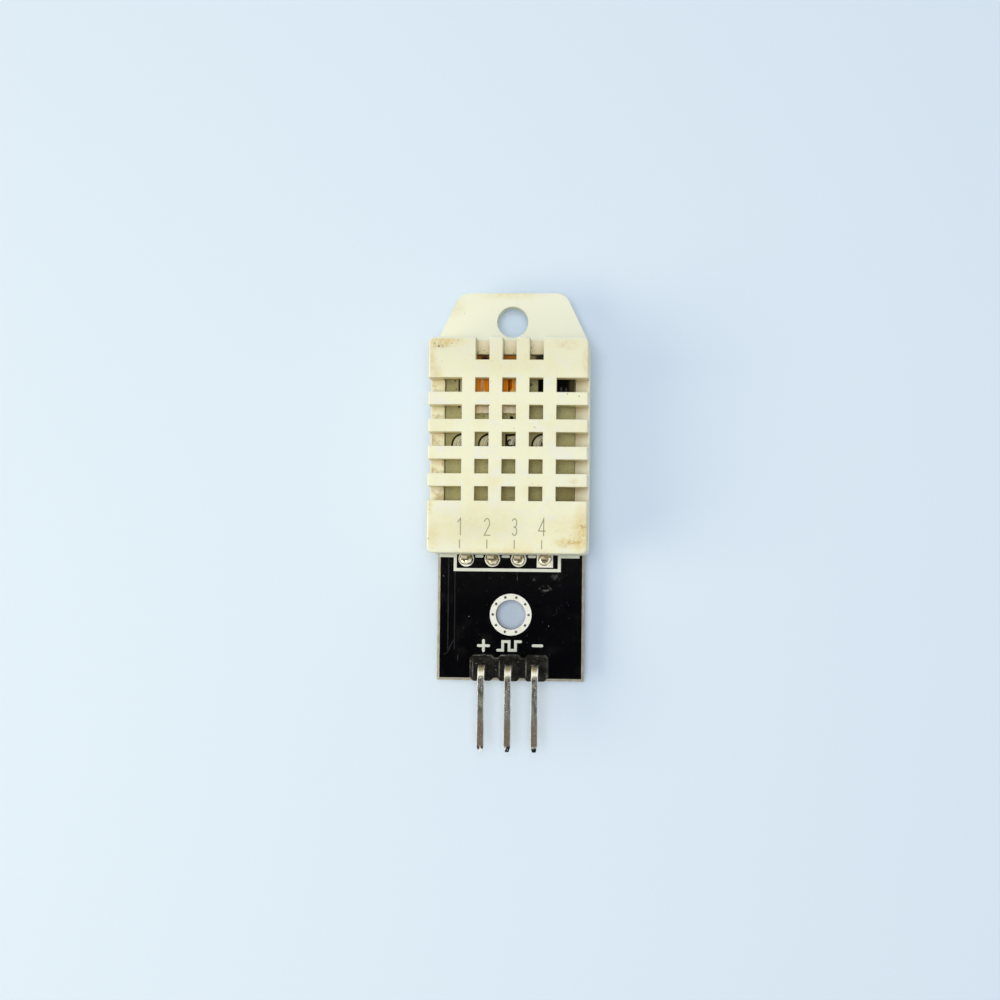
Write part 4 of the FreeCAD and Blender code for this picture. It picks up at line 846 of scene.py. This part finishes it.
def makeSilkscreen():
    # the outline of the case, a box round the leads with dashes, and the three signs over the pins
    kit = silkscreen
    parts = []

    def line(points, width=kit["line"], lift=1.0):
        parts.append(stroke(points, width, kit["height"] * lift, boardTop))

    left, right, foot, head = (kit["outline" + side] for side in ("Left", "Right", "Foot", "Head"))
    boxLeft, boxRight, boxFoot = kit["boxLeft"], kit["boxRight"], kit["boxFoot"]
    boxHead = boxFoot + kit["boxTall"]
    line([(boxLeft - kit["overlap"], foot), (left, foot), (left, head), (right, head), (right, foot),
          (boxRight + kit["overlap"], foot)])
    line([(boxLeft, boxHead), (boxLeft, boxFoot), (boxRight, boxFoot), (boxRight, boxHead)],
         lift=kit["crossing"])
    for x in kit["dashes"]:
        line([(x - kit["dash"] / 2, kit["dashLevel"]), (x + kit["dash"] / 2, kit["dashLevel"])],
             kit["dashLine"])
    level, width = kit["signLevel"], kit["signLine"]
    x, reach = kit["plusAt"], kit["plusReach"]
    line([(x - reach, level), (x + reach, level)], width)
    line([(x, level - reach), (x, level + reach)], width, kit["crossing"])
    x, reach = kit["minusAt"], kit["minusReach"]
    line([(x - reach, kit["minusLevel"]), (x + reach, kit["minusLevel"])], width)
    x, pulse, end = kit["signalAt"], kit["pulse"], kit["pulseEnd"]
    low, high = level - kit["pulseReach"], level + kit["pulseReach"]
    line([(x - end, low), (x - pulse, low), (x - pulse, high), (x, high), (x, low), (x + pulse, low),
          (x + pulse, high), (x + end, high)], width)
    pieceOf("silkscreen", parts, materials["ink"])


traces = {
    "line": 0.11, "height": 0.02, "leftAt": -6.06, "rightAt": -5.42, "top": -3.7, "rightTop": -5.0,
    "foot": -12.5, "bendAt": (-6.61, -12.25), "bendRadius": 0.72, "bendFrom": (-5.52, -11.6),
}


def makeTraces():
    # three copper runs under the mask at the left edge: two straight ones, and one that bends round an arc
    kit = traces
    left = [(kit["leftAt"], kit["top"]), (kit["leftAt"], kit["foot"])]
    right = [(kit["rightAt"], kit["rightTop"]), (kit["rightAt"], kit["foot"])]
    joined = np.vstack([[kit["bendFrom"]], arc(kit["bendAt"], kit["bendRadius"], -5.0, -75.0, 10)])
    parts = [stroke(path, kit["line"], kit["height"], boardTop) for path in (left, right, joined)]
    pieceOf("boardTraces", parts, materials["trace"])


innerMarks = {
    "line": 0.21, "outlineLine": 0.168, "height": 0.012, "radius": 1.02, "square": 0.96,
    "shift": (-0.14, -0.10),
    "plating": 0.84, "platingWide": 0.3, "fluxAt": (0.02, 7.3), "fluxRadius": 0.29, "fluxWide": 0.16,
    "outlineLeft": -4.92, "outlineRight": 1.0, "outlineFoot": 10.72, "outlineHead": 14.6,
}


def makeInnerMarks():
    # round each inner pad a printed ring, a square at the third, with plating inside; then the humidity
    # element's broken outline and the flux burnt beside the third pad
    kit = innerMarks
    parts, plated = [], []
    for number in (1, 2, 3, 4):
        low, high = boxOf(f"inner_pad_{number}")
        centre = (low + high)[:2] / 2 + kit["shift"]
        plated.append(stroke(circle(centre, kit["plating"]), kit["platingWide"], kit["height"], innerTop,
                             closed=True))
        around = circle(centre, kit["radius"])
        if number == 3:
            around = centre + kit["square"] * np.array([(-1, -1), (1, -1), (1, 1), (-1, 1)])
        parts.append(stroke(around, kit["line"], kit["height"], innerTop, closed=True))
    left, right, foot, head = (kit["outline" + side] for side in ("Left", "Right", "Foot", "Head"))
    corner = [(left, head), (left, foot), (right, foot)]
    outline = stroke(corner, kit["outlineLine"], kit["height"], innerTop)
    pieceOf("innerOutline", [outline], materials["brokenInk"])
    burnt = stroke(arc(kit["fluxAt"], kit["fluxRadius"], 95.0, 340.0, 30), kit["fluxWide"], kit["height"],
                   boxOf("inner_pad_3")[1][2])
    pieceOf("burntFlux", [burnt], materials["flux"])
    pieceOf("innerPadPlating", plated, materials["plating"])
    pieceOf("innerMarks", parts, materials["blackInk"])


domes = {
    "reach": 0.69, "height": 0.60, "middle": 0.16, "foot": 0.03, "lump": 0.07, "outward": 0.15, "turn": 1.7,
    "steps": 48, "rows": 14, "lean": 0.14, "dent": 0.08, "outEase": 0.9, "riseEase": 0.85,
}


def makeDomes():
    # The lead's solder as it set: a lumpy half ball. At each angle a quarter ellipse runs from the rim,
    # which swells and shrinks with the angle, up to the crown, whose height leans to one side.
    kit = domes
    ring, count = kit["steps"], kit["rows"]
    angle = np.linspace(0, 2 * np.pi, ring, endpoint=False)[None, :]
    climb = np.linspace(0, 1, count)[:, None]
    step, row = np.meshgrid(np.arange(ring), np.arange(count - 1))
    here, beside = row * ring + step, row * ring + (step + 1) % ring
    faces = np.stack([here, beside, beside + ring, here + ring], 2).reshape(-1, 4).tolist()
    faces += [list(range(ring))[::-1], list(range((count - 1) * ring, count * ring))]
    parts = []
    for number in (1, 2, 3, 4):
        low, high = boxOf(f"sensor_lead_{number}")
        x, y = (low[0] + high[0]) / 2, low[1] + kit["outward"]
        turn = kit["turn"] * number
        swell = 0.5 * np.sin(2 * angle + turn) + 0.3 * np.sin(3 * angle + 2 * turn) - 0.4
        rim = kit["reach"] + kit["lump"] * swell
        dent = kit["dent"] * np.sin(2 * angle - turn) * (1 - climb)
        lean = 1 + kit["lean"] * np.sin(angle + turn) + dent
        out = kit["middle"] + (rim - kit["middle"]) * np.cos(climb * np.pi / 2) ** kit["outEase"]
        rise = kit["height"] * lean * np.sin(climb * np.pi / 2) ** kit["riseEase"]
        base = boxOf(f"sensor_pad_{number}")[1][2] - kit["foot"]
        rows = np.stack([x + out * np.cos(angle), y + out * np.sin(angle),
                         np.broadcast_to(base + rise, out.shape)], 2)
        parts.append((rows.reshape(-1, 3), faces))
    pieceOf("leadSolder", parts, materials["solder"]).data.shade_smooth()


label = {
    "height": 1.55, "width": 0.85, "line": 0.09, "depth": 0.004, "foot": -1.55,
    "tickTop": -2.0, "tickFoot": -2.75,
}


def digitPath(digit):
    # a single-line number in a box one wide and one high
    if digit == 1:
        return np.array([(0.3, 0.78), (0.58, 1.0), (0.58, 0.0)])
    if digit == 2:
        return np.vstack([arc((0.5, 0.72), 0.28, 160.0, -30.0, 14), [(0.2, 0.0), (0.82, 0.0)]])
    if digit == 3:
        upper = arc((0.5, 0.75), 0.25, 150.0, -90.0, 14)
        lower = arc((0.5, 0.25), 0.25, 90.0, -150.0, 14)
        return np.vstack([upper, lower[1:]])
    return np.array([(0.7, 0.0), (0.7, 1.0), (0.15, 0.28), (0.88, 0.28)])


def makeLabel():
    # the plain numbers 1 to 4 on the front of the case, each with a tick that points at its lead
    kit = label
    parts = []
    for digit in (1, 2, 3, 4):
        low, high = boxOf(f"sensor_lead_{digit}")
        x = (low[0] + high[0]) / 2
        path = (digitPath(digit) - (0.5, 0.0)) * (kit["width"], kit["height"]) + (x, kit["foot"])
        tick = [(x, kit["tickTop"]), (x, kit["tickFoot"])]
        parts += [stroke(run, kit["line"], kit["depth"], caseFront) for run in (path, tick)]
    pieceOf("leadNumbers", parts, materials["engraving"])


makeSilkscreen()
makeTraces()
makeInnerMarks()
makeLabel()
makeDomes()
print("printed the boards and the case, and soldered the leads")

floorKit = {
    "colour": seen(225, 239, 253), "cloud": seen(220, 234, 252), "half": 600.0, "level": -0.02,
    "roughness": (0.8, 0.95), "specular": 0.1,
}


def makeFloor():
    # a pale sheet of paper just under the part
    kit = floorKit
    corners = kit["half"] * np.array([(-1, -1, 0), (1, -1, 0), (1, 1, 0), (-1, 1, 0)])
    corners[:, 2] = kit["level"]
    mesh = bpy.data.meshes.new("floor")
    mesh.from_pydata((corners * metresPerMm).tolist(), [], [(0, 1, 2, 3)])
    look = Finish("paper")
    clouds = look.times(look.noise(0.02, 3.0), 0.3)
    look.set(Base_Color=look.tint(kit["colour"], kit["cloud"], clouds),
             Roughness=look.between(look.noise(0.5), *kit["roughness"]),
             Specular_IOR_Level=kit["specular"], Normal=look.bump(look.noise(1.0, 4.0), 0.01, 0.2))
    mesh.materials.append(look.material)
    floor = bpy.data.objects.new("floor", mesh)
    bpy.context.scene.collection.objects.link(floor)


lighting = {
    "sky": (0.94, 0.97, 1.0, 1.0), "zenith": (0.03, 0.032, 0.035, 1.0), "zenithUp": (0.88, 0.97),
    "onObject": 0.37, "asBackdrop": 1.0,  # the sky's strength as light, and as camera and metal see it
    "lamps": (  # name, place, width, power in watts, colour, whether metal and gloss mirror it
        ("window", (-200.0, -40.0, 180.0), 170.0, 0.25, (1.0, 0.90, 0.56), True),
        ("ceiling", (4.0, 2.0, 470.0), 150.0, 1.08, (0.97, 1.0, 1.06), False),
    ),
}


def makeLight():
    # a pale sky that is dark straight above, as over a camera, and two soft lamps
    world = bpy.data.worlds.new("studio")
    bpy.context.scene.world = world
    sky = Nodes(world)
    height = sky.split(sky.add("TexCoord", {}, "Generated"))["Z"]
    colour = sky.tint(lighting["sky"], lighting["zenith"], sky.fade(height, *lighting["zenithUp"]))
    rays = sky.add("LightPath", {}).node.outputs
    asBackdrop = sky.most(rays["Is Camera Ray"], rays["Is Glossy Ray"])
    strength = sky.between(asBackdrop, lighting["onObject"], lighting["asBackdrop"])
    background = sky.add("Background", {"Color": colour, "Strength": strength})
    output = sky.tree.nodes.new("ShaderNodeOutputWorld")
    sky.tree.links.new(background, output.inputs["Surface"])
    for name, place, width, power, colour, mirrored in lighting["lamps"]:
        lamp = bpy.data.lights.new(name, "AREA")
        lamp.size, lamp.energy, lamp.color = width * metresPerMm, power, colour
        holder = bpy.data.objects.new(name, lamp)
        holder.location = np.array(place) * metresPerMm
        holder.rotation_euler = (-holder.location).to_track_quat("-Z", "Y").to_euler()
        holder.visible_glossy = mirrored
        bpy.context.scene.collection.objects.link(holder)


cameraKit = {
    "at": (10.3664, -4.5863, 176.8015), "turn": (0.0385578, 0.0656777, 0.0108780), "lens": 64.844,
    "sensor": 36.0, "clipStart": 0.01,
}


def makeCamera():
    # the photo's view: almost square to the board
    camera = bpy.data.cameras.new("camera")
    camera.lens = cameraKit["lens"]
    camera.sensor_width = cameraKit["sensor"]
    camera.clip_start = cameraKit["clipStart"]
    holder = bpy.data.objects.new("camera", camera)
    holder.location = np.array(cameraKit["at"]) * metresPerMm
    holder.rotation_euler = cameraKit["turn"]
    bpy.context.scene.collection.objects.link(holder)
    bpy.context.scene.camera = holder


makeFloor()
makeLight()
makeCamera()
bpy.context.scene.view_settings.view_transform = "Standard"
print("floor, light and camera set")
